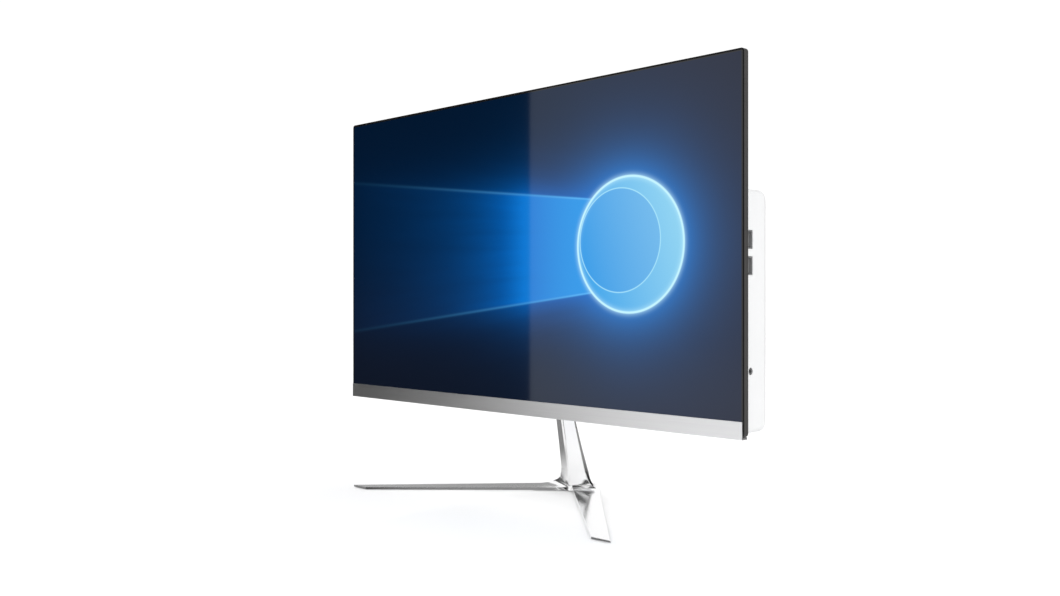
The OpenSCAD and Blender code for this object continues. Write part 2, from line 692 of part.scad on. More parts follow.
// Flat V with a rounded hub; its top falls gently towards the tips
module legs() {
    tip = foot_w / 2;
    hub_y = hub_back - hub_r;
    reach = hub_y + foot_front;
    difference() {
        translate([0, 0, sole_z]) linear_extrude(leg_top - sole_z) {
            polygon([[0, crotch_y], [tip - tip_w, -foot_front], [tip, -foot_front],
                [hub_r / sqrt(2), hub_y + hub_r / sqrt(2)], [-hub_r / sqrt(2), hub_y + hub_r / sqrt(2)],
                [-tip, -foot_front], [-tip + tip_w, -foot_front]]);
            translate([0, hub_y]) circle(hub_r);
        }
        translate([0, hub_y - 30, leg_top]) rotate([atan((leg_top - leg_tip_top) / (reach - 30)), 0, 0])
            translate([-tip - 5, -reach, 0]) cube([2 * tip + 10, reach, 10]);
    }
}

module stand_foot() color("#d8dbdd") difference() {
    union() {
        legs();
        pedestal();
    }
    for (p = pad_at) rod_z(p[0], p[1], [sole_z - 1, 1.5], p[2] + 0.1);
    for (s = [-1, 1]) {
        rod_z(s * foot_screw_x, foot_screw_y, [sole_z - 1, 5], 4);
        rod_z(s * foot_screw_x, foot_screw_y, [4, seam_z + 1], 2.1);
    }
}

module foot_screws() color("#9fa2a5") for (s = [-1, 1]) {
    rod_z(s * foot_screw_x, foot_screw_y, [1.4, 5], 3.6);
    rod_z(s * foot_screw_x, foot_screw_y, [5, 33.5], 2);
}

module foot_pads() color("#2a2b2d") for (p = pad_at) rod_z(p[0], p[1], [0, 1.5], p[2]);

cover_glass();
lcd_panel();
optical_films();
light_guide();
reflector_sheet();
backlight_bar();
panel_back_plate();
panel_control_board();
mid_frame();
chin_bar();
main_chassis();
rear_cover();
cover_screws();
wall_mount_posts();
lock_slot_plate();
motherboard();
board_standoffs();
board_screws();
board_chips();
board_sockets();
processor();
memory_modules();
solid_state_drive();
wireless_card();
coin_cell();
antennas();
cold_plate();
heat_pipes();
fin_stack();
blower_housing();
blower_cover();
blower_bearing();
blower_stator();
blower_impeller();
drive_caddy();
hard_drive();
speaker_boxes();
speaker_drivers();
speaker_leads();
display_cable();
side_io_board();
side_usb_ports();
headphone_jack();
rear_io_plate();
dc_inlet();
video_port();
network_port();
rear_usb_ports();
button_board();
power_button();
hinge_bracket();
hinge_screws();
hinge_axle();
hinge_spacers();
hinge_nuts();
neck_head();
stand_neck();
stand_foot();
foot_screws();
foot_pads();
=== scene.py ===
"""Looks of the all-in-one desktop computer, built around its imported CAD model.

Lengths in the shape code are millimetres in the model's frame: X to the right as seen from
the front, Y to the back, Z up from the desk. They become metres when a mesh is made.
"""

import json
import math
from functools import partialmethod

import bmesh
import bpy
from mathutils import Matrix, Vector


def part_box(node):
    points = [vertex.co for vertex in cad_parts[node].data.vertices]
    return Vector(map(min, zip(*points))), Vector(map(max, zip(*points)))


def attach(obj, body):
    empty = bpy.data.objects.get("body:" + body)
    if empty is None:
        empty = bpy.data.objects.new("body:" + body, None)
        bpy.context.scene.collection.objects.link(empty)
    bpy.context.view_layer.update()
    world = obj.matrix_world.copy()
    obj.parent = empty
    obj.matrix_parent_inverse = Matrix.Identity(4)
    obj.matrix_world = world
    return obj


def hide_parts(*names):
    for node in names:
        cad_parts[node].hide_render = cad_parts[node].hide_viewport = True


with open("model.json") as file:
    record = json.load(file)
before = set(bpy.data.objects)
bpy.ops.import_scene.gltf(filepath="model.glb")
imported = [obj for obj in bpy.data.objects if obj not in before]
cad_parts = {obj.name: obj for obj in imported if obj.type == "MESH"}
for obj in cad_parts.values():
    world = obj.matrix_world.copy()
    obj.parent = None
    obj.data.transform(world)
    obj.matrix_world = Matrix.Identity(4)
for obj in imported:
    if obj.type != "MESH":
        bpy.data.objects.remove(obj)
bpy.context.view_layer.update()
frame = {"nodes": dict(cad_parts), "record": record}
MM = 0.001


def box_mm(node):
    """Lowest and highest corner of a CAD node, in millimetres."""
    low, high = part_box(node)
    return low / MM, high / MM


# ---- camera, floor and light ----

scene = bpy.context.scene
scene.view_settings.view_transform = "Standard"

CAMERA_AT = Vector((0.726, -0.7303, 0.2003))
VIEW_DIRECTION = Vector((-1, 1, 0))


def add_camera():
    data = bpy.data.cameras.new("camera")
    data.lens = 35
    data.sensor_width = 36
    camera = bpy.data.objects.new("camera", data)
    camera.location = CAMERA_AT
    camera.rotation_euler = VIEW_DIRECTION.to_track_quat("-Z", "Y").to_euler()
    scene.collection.objects.link(camera)
    scene.camera = camera


add_camera()


def feed(tree, slot, value):
    """Sets a node's input to a number, or links a field to it."""
    if isinstance(value, Field):
        tree.links.new(value.socket, slot)
    else:
        slot.default_value = value


class Field:
    """A number that varies over a surface: one output of a node, with arithmetic."""

    def __init__(self, tree, socket):
        self.tree = tree
        self.socket = socket

    def math(self, operation, *others, clamp=False):
        node = self.tree.nodes.new("ShaderNodeMath")
        node.operation = operation
        node.use_clamp = clamp
        for slot, value in zip(node.inputs, (self, *others)):
            feed(self.tree, slot, value)
        return Field(self.tree, node.outputs[0])

    __add__ = partialmethod(math, "ADD")
    __sub__ = partialmethod(math, "SUBTRACT")
    __mul__ = partialmethod(math, "MULTIPLY")
    __truediv__ = partialmethod(math, "DIVIDE")
    __neg__ = partialmethod(math, "MULTIPLY", -1)
    power = partialmethod(math, "POWER")
    exp = partialmethod(math, "EXPONENT")
    absolute = partialmethod(math, "ABSOLUTE")
    clamped = partialmethod(math, "ADD", 0, clamp=True)
    at_least = partialmethod(math, "MAXIMUM")
    at_most = partialmethod(math, "MINIMUM")

    def bell(self, centre, width):
        """1 at centre, falling off as a bell curve."""
        away = (self - centre) / width
        return (-(away * away)).exp()

    def step(self, start, end):
        """0 at start, 1 at end, smooth between them."""
        node = self.tree.nodes.new("ShaderNodeMapRange")
        node.interpolation_type = "SMOOTHSTEP"
        self.tree.links.new(self.socket, node.inputs["Value"])
        ends = {"From Min": min(start, end), "From Max": max(start, end)}
        ends |= {"To Min": float(start > end), "To Max": float(start < end)}
        for name, value in ends.items():
            node.inputs[name].default_value = value
        return Field(self.tree, node.outputs["Result"])


class Paint:
    """A material under construction, with one Principled shader."""

    def __init__(self, name, colour, roughness, metallic=0.0, **uniform):
        self.material = bpy.data.materials.new(name)
        self.material.use_nodes = True
        self.tree = self.material.node_tree
        self.shader = self.tree.nodes["Principled BSDF"]
        self.shader.inputs["Base Color"].default_value = (*colour, 1)
        self.shader.inputs["Roughness"].default_value = roughness
        self.shader.inputs["Metallic"].default_value = metallic
        for key, value in uniform.items():
            self.shader.inputs[key.replace("_", " ")].default_value = value

    def at(self):
        """X, Y and Z on the piece, in metres."""
        coordinates = self.tree.nodes.new("ShaderNodeTexCoord")
        split = self.tree.nodes.new("ShaderNodeSeparateXYZ")
        self.tree.links.new(coordinates.outputs["Object"], split.inputs[0])
        return [Field(self.tree, out) for out in split.outputs]

    def vector(self, x, y, z):
        node = self.tree.nodes.new("ShaderNodeCombineXYZ")
        for slot, value in zip(node.inputs, (x, y, z)):
            feed(self.tree, slot, value)
        return node.outputs[0]

    def noise(self, scale, detail=3, stretch=(1, 1, 1), vector=None):
        """Cloudy noise from 0 to 1, in features per metre, stretched along the axes."""
        node = self.tree.nodes.new("ShaderNodeTexNoise")
        node.inputs["Scale"].default_value = scale
        node.inputs["Detail"].default_value = detail
        if vector is None:
            x, y, z = self.at()
            vector = self.vector(x * stretch[0], y * stretch[1], z * stretch[2])
        self.tree.links.new(vector, node.inputs["Vector"])
        return Field(self.tree, node.outputs["Fac"])

    def blend(self, fac, first, second):
        """A colour between two colours, or between outputs of other blends."""
        node = self.tree.nodes.new("ShaderNodeMix")
        node.data_type = "RGBA"
        self.tree.links.new(fac.socket, node.inputs["Factor"])
        for name, value in (("A", first), ("B", second)):
            slot = [s for s in node.inputs if s.name == name and s.type == "RGBA"][0]
            if isinstance(value, tuple):
                slot.default_value = (*value, 1)
            else:
                self.tree.links.new(value, slot)
        return [s for s in node.outputs if s.type == "RGBA"][0]

    def colour(self, socket):
        self.tree.links.new(socket, self.shader.inputs["Base Color"])

    def roughness(self, field):
        self.tree.links.new(field.socket, self.shader.inputs["Roughness"])

    def bump(self, height, depth, strength):
        """Relief from a field from 0 to 1, depth in millimetres."""
        node = self.tree.nodes.new("ShaderNodeBump")
        node.inputs["Distance"].default_value = depth * MM
        node.inputs["Strength"].default_value = strength
        self.tree.links.new(height.socket, node.inputs["Height"])
        self.tree.links.new(node.outputs[0], self.shader.inputs["Normal"])


def floor_material():
    paint = Paint("studio_floor", (0.9, 0.9, 0.9), 0.6, Specular_IOR_Level=0.1)
    paint.colour(paint.blend(paint.noise(3, 2), (0.97, 0.97, 0.97), (0.99, 0.99, 0.99)))
    return paint.material


def add_floor():
    bpy.ops.mesh.primitive_plane_add(size=8)
    floor = bpy.context.object
    floor.name = "studio_floor"
    floor.data.materials.append(floor_material())


def card(name, corners, shades):
    """A studio card seen only in reflections, with one shade or a ramp between two."""
    mesh = bpy.data.meshes.new(name)
    mesh.from_pydata([Vector(c) for c in corners], [], [(0, 1, 2, 3)])
    shade = mesh.color_attributes.new("shade", "FLOAT_COLOR", "POINT")
    first, last = shades[0], shades[-1]
    for i, value in enumerate((first, last, last, first)):
        shade.data[i].color = (value, value, value, 1)
    material = bpy.data.materials.new(name)
    material.use_nodes = True
    tree = material.node_tree
    tree.nodes.clear()
    emission = tree.nodes.new("ShaderNodeEmission")
    colour = tree.nodes.new("ShaderNodeVertexColor")
    colour.layer_name = "shade"
    tree.links.new(colour.outputs["Color"], emission.inputs["Color"])
    output = tree.nodes.new("ShaderNodeOutputMaterial")
    tree.links.new(emission.outputs[0], output.inputs["Surface"])
    mesh.materials.append(material)
    thing = bpy.data.objects.new(name, mesh)
    for ray in ("camera", "diffuse", "shadow", "transmission"):
        setattr(thing, "visible_" + ray, False)
    scene.collection.objects.link(thing)


def upright_card(name, start, end, bottom, top, *shades):
    (x0, y0), (x1, y1) = start, end
    corners = [(x0, y0, bottom), (x1, y1, bottom), (x1, y1, top), (x0, y0, top)]
    card(name, corners, shades)


def level_card(name, across, deep, z, *shades):
    (x0, x1), (y0, y1) = across, deep
    card(name, [(x0, y0, z), (x1, y0, z), (x1, y1, z), (x0, y1, z)], shades)


# Cards that lie on the floor, in metres above it
ON_FLOOR = 0.0004


def add_light():
    world = bpy.data.worlds.new("studio")
    world.use_nodes = True
    sky = world.node_tree.nodes["Background"].inputs
    sky["Color"].default_value = (1, 1, 1, 1)
    sky["Strength"].default_value = 1.05
    scene.world = world
    data = bpy.data.lights.new("overhead", "AREA")
    data.shape = "RECTANGLE"
    data.size = data.size_y = 3
    data.energy = 22
    lamp = bpy.data.objects.new("overhead", data)
    lamp.location = (0.1, -0.2, 2.4)
    aim = Vector((0, 0, 0.2)) - lamp.location
    lamp.rotation_euler = aim.to_track_quat("-Z", "Y").to_euler()
    scene.collection.objects.link(lamp)
    # The glass reflects this dark card on its left half.
    upright_card("dark_card", (-0.56, -0.6137), (-0.95, -0.1516), 0, 1.6, 0.004)
    # These shade the polished stand: beside it on the floor, behind, in front, at its hub
    # and under the display.
    level_card("left_floor_card", (-1.6, -0.16), (-0.6, 1.2), ON_FLOOR, 0.2, 0.22)
    level_card("soft_floor_card", (-0.16, -0.03), (-0.6, 1.2), ON_FLOOR, 0.22, 1.0)
    level_card("tip_floor_card", (0.1, 0.2), (-0.0935, -0.0903), 0.0005, 0.12)
    upright_card("back_card", (-0.62, 0.66), (-1.6, 0.5), 0, 0.5, 0.3, 0.5)
    upright_card("back_right_card", (-0.15, 0.55), (0.9, 0.4), 0.06, 1.0, 0.02)
    upright_card("back_right_low_card", (-0.15, 0.55), (0.9, 0.4), 0, 0.06, 0.35)
    upright_card("hub_card", (-0.085, 0.025), (-0.045, -0.03), 0.013, 0.084, 1.0)
    level_card("back_right_floor_card", (0.03, 0.9), (0.085, 0.55), ON_FLOOR, 0.02)
    upright_card("front_card", (-0.15, -0.9), (0.4, -0.9), 0.09, 1.1, 0.01)
    upright_card("front_low_card", (-0.29, -0.9), (-0.15, -0.9), 0.09, 0.4, 0.01)
    upright_card("fold_card", (-0.052, -0.022), (-0.018, -0.022), 0.018, 0.083, 0.01)
    upright_card("front_right_card", (0.4, -0.9), (0.9, -0.5), 0, 0.5, 0.2, 0.3)
    level_card("under_card", (-0.26, 0.26), (-0.029, 0.016), 0.0862, 0.01)


add_floor()
add_light()


# ---- mesh helpers ----


def add_piece(name, mesh, body, slot, *nodes):
    piece = bpy.data.objects.new(name, mesh)
    scene.collection.objects.link(piece)
    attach(piece, body)
    if nodes:
        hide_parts(*nodes)
    return piece


def mesh_from(name, points, faces, *materials):
    """A mesh from points in millimetres."""
    mesh = bpy.data.meshes.new(name)
    mesh.from_pydata([Vector(p) * MM for p in points], [], faces)
    for material in materials:
        mesh.materials.append(material)
    mesh.validate()
    return mesh


def tidy_normals(mesh, merge=True):
    """Turns the faces outwards, after merging points that coincide."""
    bm = bmesh.new()
    bm.from_mesh(mesh)
    if merge:
        bmesh.ops.remove_doubles(bm, verts=bm.verts, dist=1e-6)
    bmesh.ops.recalc_face_normals(bm, faces=bm.faces)
    bm.to_mesh(mesh)
    bm.free()
    return mesh


def smooth(piece, degrees):
    for polygon in piece.data.polygons:
        polygon.use_smooth = True
    piece.data.set_sharp_from_angle(angle=math.radians(degrees))


def round_edges(piece, width, segments=3, degrees=28):
    """Rounds edges sharper than degrees. The width is in millimetres."""
    bevel = piece.modifiers.new("round_edges", "BEVEL")
    bevel.width = width * MM
    bevel.segments = segments
    bevel.limit_method = "ANGLE"
    bevel.angle_limit = math.radians(degrees)
    bevel.use_clamp_overlap = True
    bevel.harden_normals = True
    for polygon in piece.data.polygons:
        polygon.use_smooth = True


def round_rectangle(half_w, half_h, radius, steps=8):
    """Counter-clockwise outline of a rectangle with round corners, around (0, 0)."""
    points = []
    for quarter, (sx, sy) in enumerate(((1, 1), (-1, 1), (-1, -1), (1, -1))):
        for i in range(steps + 1):
            angle = math.radians(90 * (quarter + i / steps))
            x = sx * (half_w - radius) + radius * math.cos(angle)
            points.append((x, sy * (half_h - radius) + radius * math.sin(angle)))
    return points


def loft(rings, caps=True):
    """Points and faces of a skin over closed rings of the same length."""
    count = len(rings[0])
    points = [p for ring in rings for p in ring]
    faces = []
    for r in range(len(rings) - 1):
        for i in range(count):
            j = (i + 1) % count
            a, b = r * count, (r + 1) * count
            faces.append((a + i, a + j, b + j, b + i))
    if caps:
        last = (len(rings) - 1) * count
        faces.append(tuple(range(count)))
        faces.append(tuple(last + i for i in reversed(range(count))))
    return points, faces


def placed(outline, axis, centre, depth):
    """The outline as a ring of points square to an axis: x, y or z."""
    ring = []
    for a, b in outline:
        a, b = a + centre[0], b + centre[1]
        ring.append({"x": (depth, a, b), "y": (a, depth, b), "z": (a, b, depth)}[axis])
    return ring


def prism(outline, axis, centre, span):
    return loft([placed(outline, axis, centre, depth) for depth in span])


def turned(axis, centre, profile, steps=40):
    """A closed round body from (radius, depth) pairs."""
    return loft([placed(disc(radius, steps), axis, centre, depth) for radius, depth in profile])


def disc(radius, steps=40):
    turns = [2 * math.pi * i / steps for i in range(steps)]
    return [(radius * math.cos(t), radius * math.sin(t)) for t in turns]


def cup(outline, axis, centre, back, face, wall, depth, edge):
    """A socket shell, closed at its back and hollow from its face, with a rounded rim.

    outline is a function that gives the outline at an inset.
    """
    way = 1 if face > back else -1
    steps = [(0, back), (0, face - way * edge), (edge * 0.3, face - way * edge * 0.3),
             (edge, face), (wall - edge * 0.4, face), (wall, face - way * edge * 0.4),
             (wall, face - way * depth)]
    return loft([placed(outline(inset), axis, centre, at) for inset, at in steps])


def block(half_w, half_h, radius, axis, centre, back, tip, edge=0.15):
    """A bar with rounded corners and tip."""
    inwards = -edge if tip > back else edge
    steps = [(0, back), (0, tip + inwards), (edge * 0.3, tip + inwards * 0.3), (edge, tip)]
    rings = []
    for inset, at in steps:
        outline = round_rectangle(half_w - inset, half_h - inset, max(radius - inset, 0.02), 3)
        rings.append(placed(outline, axis, centre, at))
    return loft(rings)


def joined(parts):
    """One list of points and faces out of several."""
    points, faces = [], []
    for part_points, part_faces in parts:
        faces += [tuple(len(points) + i for i in face) for face in part_faces]
        points += part_points
    return points, faces


def grouped(name, *groups):
    """One mesh out of (material, parts) groups."""
    points, faces, owners, materials = [], [], [], []
    for material, parts in groups:
        group_points, group_faces = joined(parts)
        faces += [tuple(len(points) + i for i in face) for face in group_faces]
        points += group_points
        owners += [len(materials)] * len(group_faces)
        materials.append(material)
    mesh = mesh_from(name, points, faces, *materials)
    for polygon, owner in zip(mesh.polygons, owners):
        polygon.material_index = owner
    return tidy_normals(mesh, merge=False)


def loose(name, shape, *materials):
    """An object out of (points, faces), not yet a piece of the model."""
    thing = bpy.data.objects.new(name, tidy_normals(mesh_from(name, *shape, *materials)))
    scene.collection.objects.link(thing)
    return thing


def cut(piece, cutter, operation="DIFFERENCE"):
    """Cuts a closed shape out of the piece, or adds it, and applies the result."""
    tool = loose("tool", cutter)
    boolean = piece.modifiers.new("cut", "BOOLEAN")
    boolean.operation = operation
    boolean.object = tool
    boolean.solver = "EXACT"
    graph = bpy.context.evaluated_depsgraph_get()
    mesh = bpy.data.meshes.new_from_object(piece.evaluated_get(graph))
    piece.modifiers.clear()
    piece.data = mesh
    bpy.data.objects.remove(tool)


def hollowed(shape, hollow):
    """Points and faces of a shape with a hollow cut out of it."""
    piece = loose("hollowed", shape)
    cut(piece, hollow)
    points = [tuple(v.co / MM) for v in piece.data.vertices]
    faces = [tuple(p.vertices) for p in piece.data.polygons]
    bpy.data.objects.remove(piece)
    return points, faces


def upright(outline, y, centre_z):
    """An outline drawn as (x, z), stood at the depth y."""
    return [(x, y, centre_z + z) for x, z in outline]


# ---- materials ----

# Centre, in metres, and radius, in millimetres, of the lens in the screen's picture, and
# where the beam's edges start from it
LENS_X, LENS_Z, LENS_R = 0.147, 0.2475, 60.0
BEAM_X = 0.0855


def picture_material():
    """The lit screen: a bright lens with a halo throws a widening beam to the left."""
    uniform = {"Emission_Strength": 1.0, "IOR": 1.41, "Specular_Tint": (0.78, 0.86, 1.0, 1.0)}
    glow = Paint("screen_picture", (0.0006, 0.0007, 0.0009), 0.045, **uniform)
    x, _, z = glow.at()
    away_x, away_z = x - LENS_X, z - LENS_Z
    radius = (away_x * away_x + away_z * away_z).power(0.5) * 1000
    outside = (radius - LENS_R).at_least(0)
    haze = glow.noise(14, 3)
    streaks = glow.noise(1, 3, vector=glow.vector(x * 6, 0.0, away_z / (x * -1 + 0.4) * 34))

    # The beam narrows towards the lens; across is 1 on its edges.
    spread = (x * -1 + BEAM_X) * 0.118 + 0.0445
    across = away_z.absolute() / spread
    behind = (x - 0.0165).at_most(0)
    strength = (behind * 22).exp() * 0.86 + (x + 0.32) * 0.42
    strength = strength * (streaks * 0.5 + 0.78)
    inside = across.step(1.03, 0.95)
    spill = ((across - 1).at_least(0) * -3.2).exp() * 0.62
    lit = inside + (inside * -1 + 1) * spill
    left = x.step(0.17, 0.1)
    beam = strength * lit * left
    edge = across.bell(1.0, 0.022) * ((x - BEAM_X).at_most(0) * 11).exp() * left

    halo = (outside * -0.048).exp()
    wide = (outside * -0.018).exp()
    light = halo * 0.62 + wide * 0.10 + haze * wide * 0.06

    to_right = x.step(-0.02, 0.26)
    low_right = glow.blend(to_right, (0.0045, 0.0075, 0.017), (0.013, 0.014, 0.026))
    top_right = glow.blend(to_right, (0.0003, 0.0072, 0.025), (0.013, 0.014, 0.026))
    deep = glow.blend(z.step(0.12, 0.30), low_right, top_right)
    haloed = glow.blend(light.clamped(), deep, (0.012, 0.22, 0.72))
    beamed = glow.blend((beam * 0.98).clamped(), haloed, (0.001, 0.15, 0.60))
    near = x.step(-0.02, 0.10) * inside * left
    brighter = glow.blend(near * 0.85, beamed, (0.018, 0.33, 0.82))
    edged = glow.blend((edge * 0.75).clamped(), brighter, (0.10, 0.50, 0.98))

    facing = away_x * 9 + away_z * 3 + 0.5
    core = glow.blend(facing.clamped(), (0.030, 0.36, 0.80), (0.25, 0.62, 0.86))
    ring_x, ring_z = away_x + 0.011, away_z - 0.004
    inner = (ring_x * ring_x + ring_z * ring_z).power(0.5) * 1000
    core = glow.blend(inner.step(46.5, 46) * 0.30, core, (0.008, 0.22, 0.72))
    core = glow.blend(inner.bell(46.3, 0.5) * 0.8, core, (0.45, 0.86, 1.0))
    lens = glow.blend(radius.step(LENS_R + 0.3, LENS_R - 0.3), edged, core)
    rim = radius.bell(LENS_R, 0.9) + radius.bell(LENS_R, 3.2) * 0.35
    final = glow.blend(rim.clamped(), lens, (0.55, 0.90, 1.0))
    glow.tree.links.new(final, glow.shader.inputs["Emission Color"])
    return glow.material


def frame_black():
    """Black lip round the glass, with slightly greyer anodised sides."""
    paint = Paint("frame_black", (0.02, 0.02, 0.02), 0.4, Specular_IOR_Level=0.16)
    _, y, _ = paint.at()
    grain = paint.noise(2600, 2)
    lip = paint.blend(paint.noise(40), (0.003, 0.003, 0.0033), (0.006, 0.006, 0.0063))
    streaks = paint.noise(300, 2, (1, 1, 0.02))
    side = paint.blend(streaks, (0.058, 0.056, 0.055), (0.072, 0.07, 0.068))
    paint.colour(paint.blend(y.step(-0.0290, -0.0284), lip, side))
    paint.roughness(grain * 0.12 + 0.36)
    paint.bump(grain, 0.02, 0.25)
    return paint.material


def glass_border():
    paint = Paint("glass_border", (0.006, 0.006, 0.007), 0.06)
    smudge = paint.noise(22)
    paint.roughness(smudge * 0.05 + 0.04)
    paint.colour(paint.blend(smudge, (0.005, 0.005, 0.006), (0.009, 0.009, 0.010)))
    return paint.material


def brushed_silver():
    paint = Paint("brushed_silver", (0.83, 0.83, 0.835), 0.32, 1.0)
    streaks = paint.noise(900, 4, stretch=(0.012, 1, 1))
    paint.colour(paint.blend(streaks, (0.79, 0.79, 0.795), (0.88, 0.88, 0.885)))
    paint.roughness(streaks * 0.16 + 0.27)
    paint.bump(streaks, 0.01, 0.18)
    return paint.material


def white_plastic():
    paint = Paint("white_plastic", (0.88, 0.885, 0.89), 0.36)
    grain = paint.noise(1500, 2)
    cloud = paint.noise(14, 2)
    paint.colour(paint.blend(cloud, (0.865, 0.87, 0.875), (0.898, 0.903, 0.908)))
    paint.roughness(grain * 0.14 + 0.30)
    paint.bump(grain, 0.03, 0.22)
    return paint.material


def polished_metal():
    paint = Paint("polished_metal", (0.95, 0.95, 0.955), 0.16, 1.0)
    smear = paint.noise(30, 3, stretch=(1, 1, 0.4))
    hairline = paint.noise(1400, 2, stretch=(1, 1, 0.05))
    paint.colour(paint.blend(smear, (0.93, 0.93, 0.935), (0.965, 0.965, 0.97)))
    paint.roughness(smear * 0.06 + hairline * 0.02 + 0.14)
    return paint.material


def plain_metal(name, colour, roughness, streak=(1, 1, 1), metallic=1.0):
    """Rolled, turned or plated metal with faint working marks."""
    paint = Paint(name, colour, roughness, metallic)
    marks = paint.noise(700, 3, stretch=streak)
    stain = paint.noise(60, 3)
    darker = tuple(c * 0.86 for c in colour)
    paint.colour(paint.blend(stain, darker, colour))
    paint.roughness(marks * 0.16 + (roughness - 0.06))
    paint.bump(marks, 0.01, 0.2)
    return paint.material


def plain_plastic(name, colour, roughness, grain_size=1800):
    """Moulded plastic or rubber with a fine grain."""
    paint = Paint(name, colour, roughness)
    grain = paint.noise(grain_size, 2)
    darker = tuple(c * 0.85 for c in colour)
    paint.colour(paint.blend(paint.noise(50, 2), darker, colour))
    paint.roughness(grain * 0.14 + (roughness - 0.06))
    paint.bump(grain, 0.02, 0.25)
    return paint.material


def circuit_board():
    """Green solder mask with copper tracks showing through."""
    paint = Paint("circuit_board", (0.02, 0.14, 0.06), 0.35)
    x, y, z = paint.at()
    tracks = paint.tree.nodes.new("ShaderNodeTexBrick")
    tracks.inputs["Scale"].default_value = 240
    tracks.inputs["Mortar Size"].default_value = 0.012
    paint.tree.links.new(paint.vector(x, z, y), tracks.inputs["Vector"])
    line = Field(paint.tree, tracks.outputs["Fac"])
    mask = paint.blend(paint.noise(80), (0.012, 0.10, 0.045), (0.025, 0.16, 0.07))
    paint.colour(paint.blend(line * 0.5, mask, (0.09, 0.30, 0.12)))
    paint.bump(line, 0.03, 0.4)
    return paint.material


WHITE = white_plastic()
BLACK = frame_black()
SILVER = brushed_silver()
POLISHED = polished_metal()
METALS = [
    ("zinc_sheet", (0.62, 0.64, 0.65), 0.38),
    ("steel_posts", (0.55, 0.56, 0.57), 0.3),
    ("brass_fittings", (0.78, 0.58, 0.26), 0.3),
    ("screw_steel", (0.70, 0.71, 0.73), 0.28),
    ("dark_screws", (0.16, 0.165, 0.17), 0.35),
    ("processor_lid", (0.68, 0.69, 0.7), 0.35),
    ("radio_can", (0.64, 0.66, 0.68), 0.3),
    ("cell_steel", (0.72, 0.73, 0.74), 0.25),
    ("aerial_foil", (0.80, 0.62, 0.34), 0.35),
    ("copper", (0.80, 0.42, 0.26), 0.28),
    ("fin_aluminium", (0.74, 0.76, 0.78), 0.35),
    ("drive_case", (0.5, 0.52, 0.54), 0.4),
    ("port_metal", (0.40, 0.405, 0.41), 0.4, (1, 1, 1), 0.3),
    ("io_shield", (0.58, 0.6, 0.61), 0.35, (1, 1, 0.05)),
    ("hinge_steel", (0.42, 0.43, 0.44), 0.3),
]
PLASTICS = [
    ("display_cell", (0.02, 0.05, 0.12), 0.2),
    ("clear_optics", (0.85, 0.9, 0.92), 0.3),
    ("white_film", (0.9, 0.9, 0.9), 0.5),
    ("emitter_strip", (0.85, 0.83, 0.7), 0.5),
    ("button_cap", (0.62, 0.64, 0.65), 0.35),
    ("chip_black", (0.03, 0.032, 0.035), 0.5),
    ("blower_plastic", (0.02, 0.021, 0.023), 0.5),
    ("speaker_plastic", (0.025, 0.025, 0.027), 0.55),
    ("lead_sleeve", (0.4, 0.05, 0.045), 0.5),
    ("ribbon", (0.07, 0.075, 0.08), 0.45),
    ("port_black", (0.07, 0.07, 0.073), 0.4),
    ("pad_rubber", (0.03, 0.03, 0.03), 0.8, 900),
]
FINISHES = {name: plain_metal(name, *look) for name, *look in METALS}
FINISHES |= {name: plain_plastic(name, *look) for name, *look in PLASTICS}
FINISHES |= {"black_frame": BLACK, "silver_chin": SILVER, "white_plastic": WHITE,
             "circuit_board": circuit_board(), "polished_stand": POLISHED}


# Parts seen through the windows, slots and holes, with the rounding of their edges in mm
SOFTENED = {"rear_io_plate": 0.25, "neck_head": 0.6, "hinge_axle": 0.4, "hinge_spacers": 0.2,
            "hinge_nuts": 0.3, "hinge_bracket": 0.3, "hinge_screws": 0.2, "lock_slot_plate": 0.2,
            "foot_screws": 0.2, "fin_stack": 0.1, "blower_housing": 0.3, "drive_caddy": 0.3,
            "hard_drive": 0.4, "main_chassis": 0.2}


def finish_cad_nodes():
    """Gives every CAD node its finish, and rounds the edges of those that may show."""
    slot_of = {s["node"]: s["material_slot"] for s in frame["record"]["subparts"]}
    for name, node in frame["nodes"].items():
        finish = FINISHES.get(slot_of[name])
        if finish is None:
            continue
        node.data.materials.clear()
        node.data.materials.append(finish)
        if name in SOFTENED:
            round_edges(node, SOFTENED[name], 2, 30)


finish_cad_nodes()


# ---- display ----

frame_low, frame_high = box_mm("mid_frame")
glass_low, glass_high = box_mm("cover_glass")
PICTURE_W = 527.0
PICTURE_TOP = glass_high.z - 1.1


def middle_and_halves(low, high):
    return (low.z + high.z) / 2, (high.x - low.x) / 2, (high.z - low.z) / 2


def add_glass():
    """Cover glass with chamfered edges: a lit picture inside a printed black border."""
    centre_z, half_w, half_h = middle_and_halves(glass_low, glass_high)
    front, back, chamfer = glass_low.y, glass_high.y, 0.25
    picture_h = PICTURE_TOP - (glass_low.z + 1.5)
    picture_z = PICTURE_TOP - picture_h / 2
    rings = [
        upright(round_rectangle(PICTURE_W / 2, picture_h / 2, 0.4, 3), front, picture_z),
        upright(round_rectangle(half_w - chamfer, half_h - chamfer, 1.4, 3), front, centre_z),
        upright(round_rectangle(half_w, half_h, 1.6, 3), front + chamfer, centre_z),
        upright(round_rectangle(half_w, half_h, 1.6, 3), back, centre_z),
    ]
    mesh = mesh_from("display_glass", *loft(rings), glass_border(), picture_material())
    # The last face but one caps the first ring, so it is the picture.
    mesh.polygons[len(mesh.polygons) - 2].material_index = 1
    tidy_normals(mesh)
    add_piece("display_glass", mesh, "display", "screen_glass", "cover_glass")


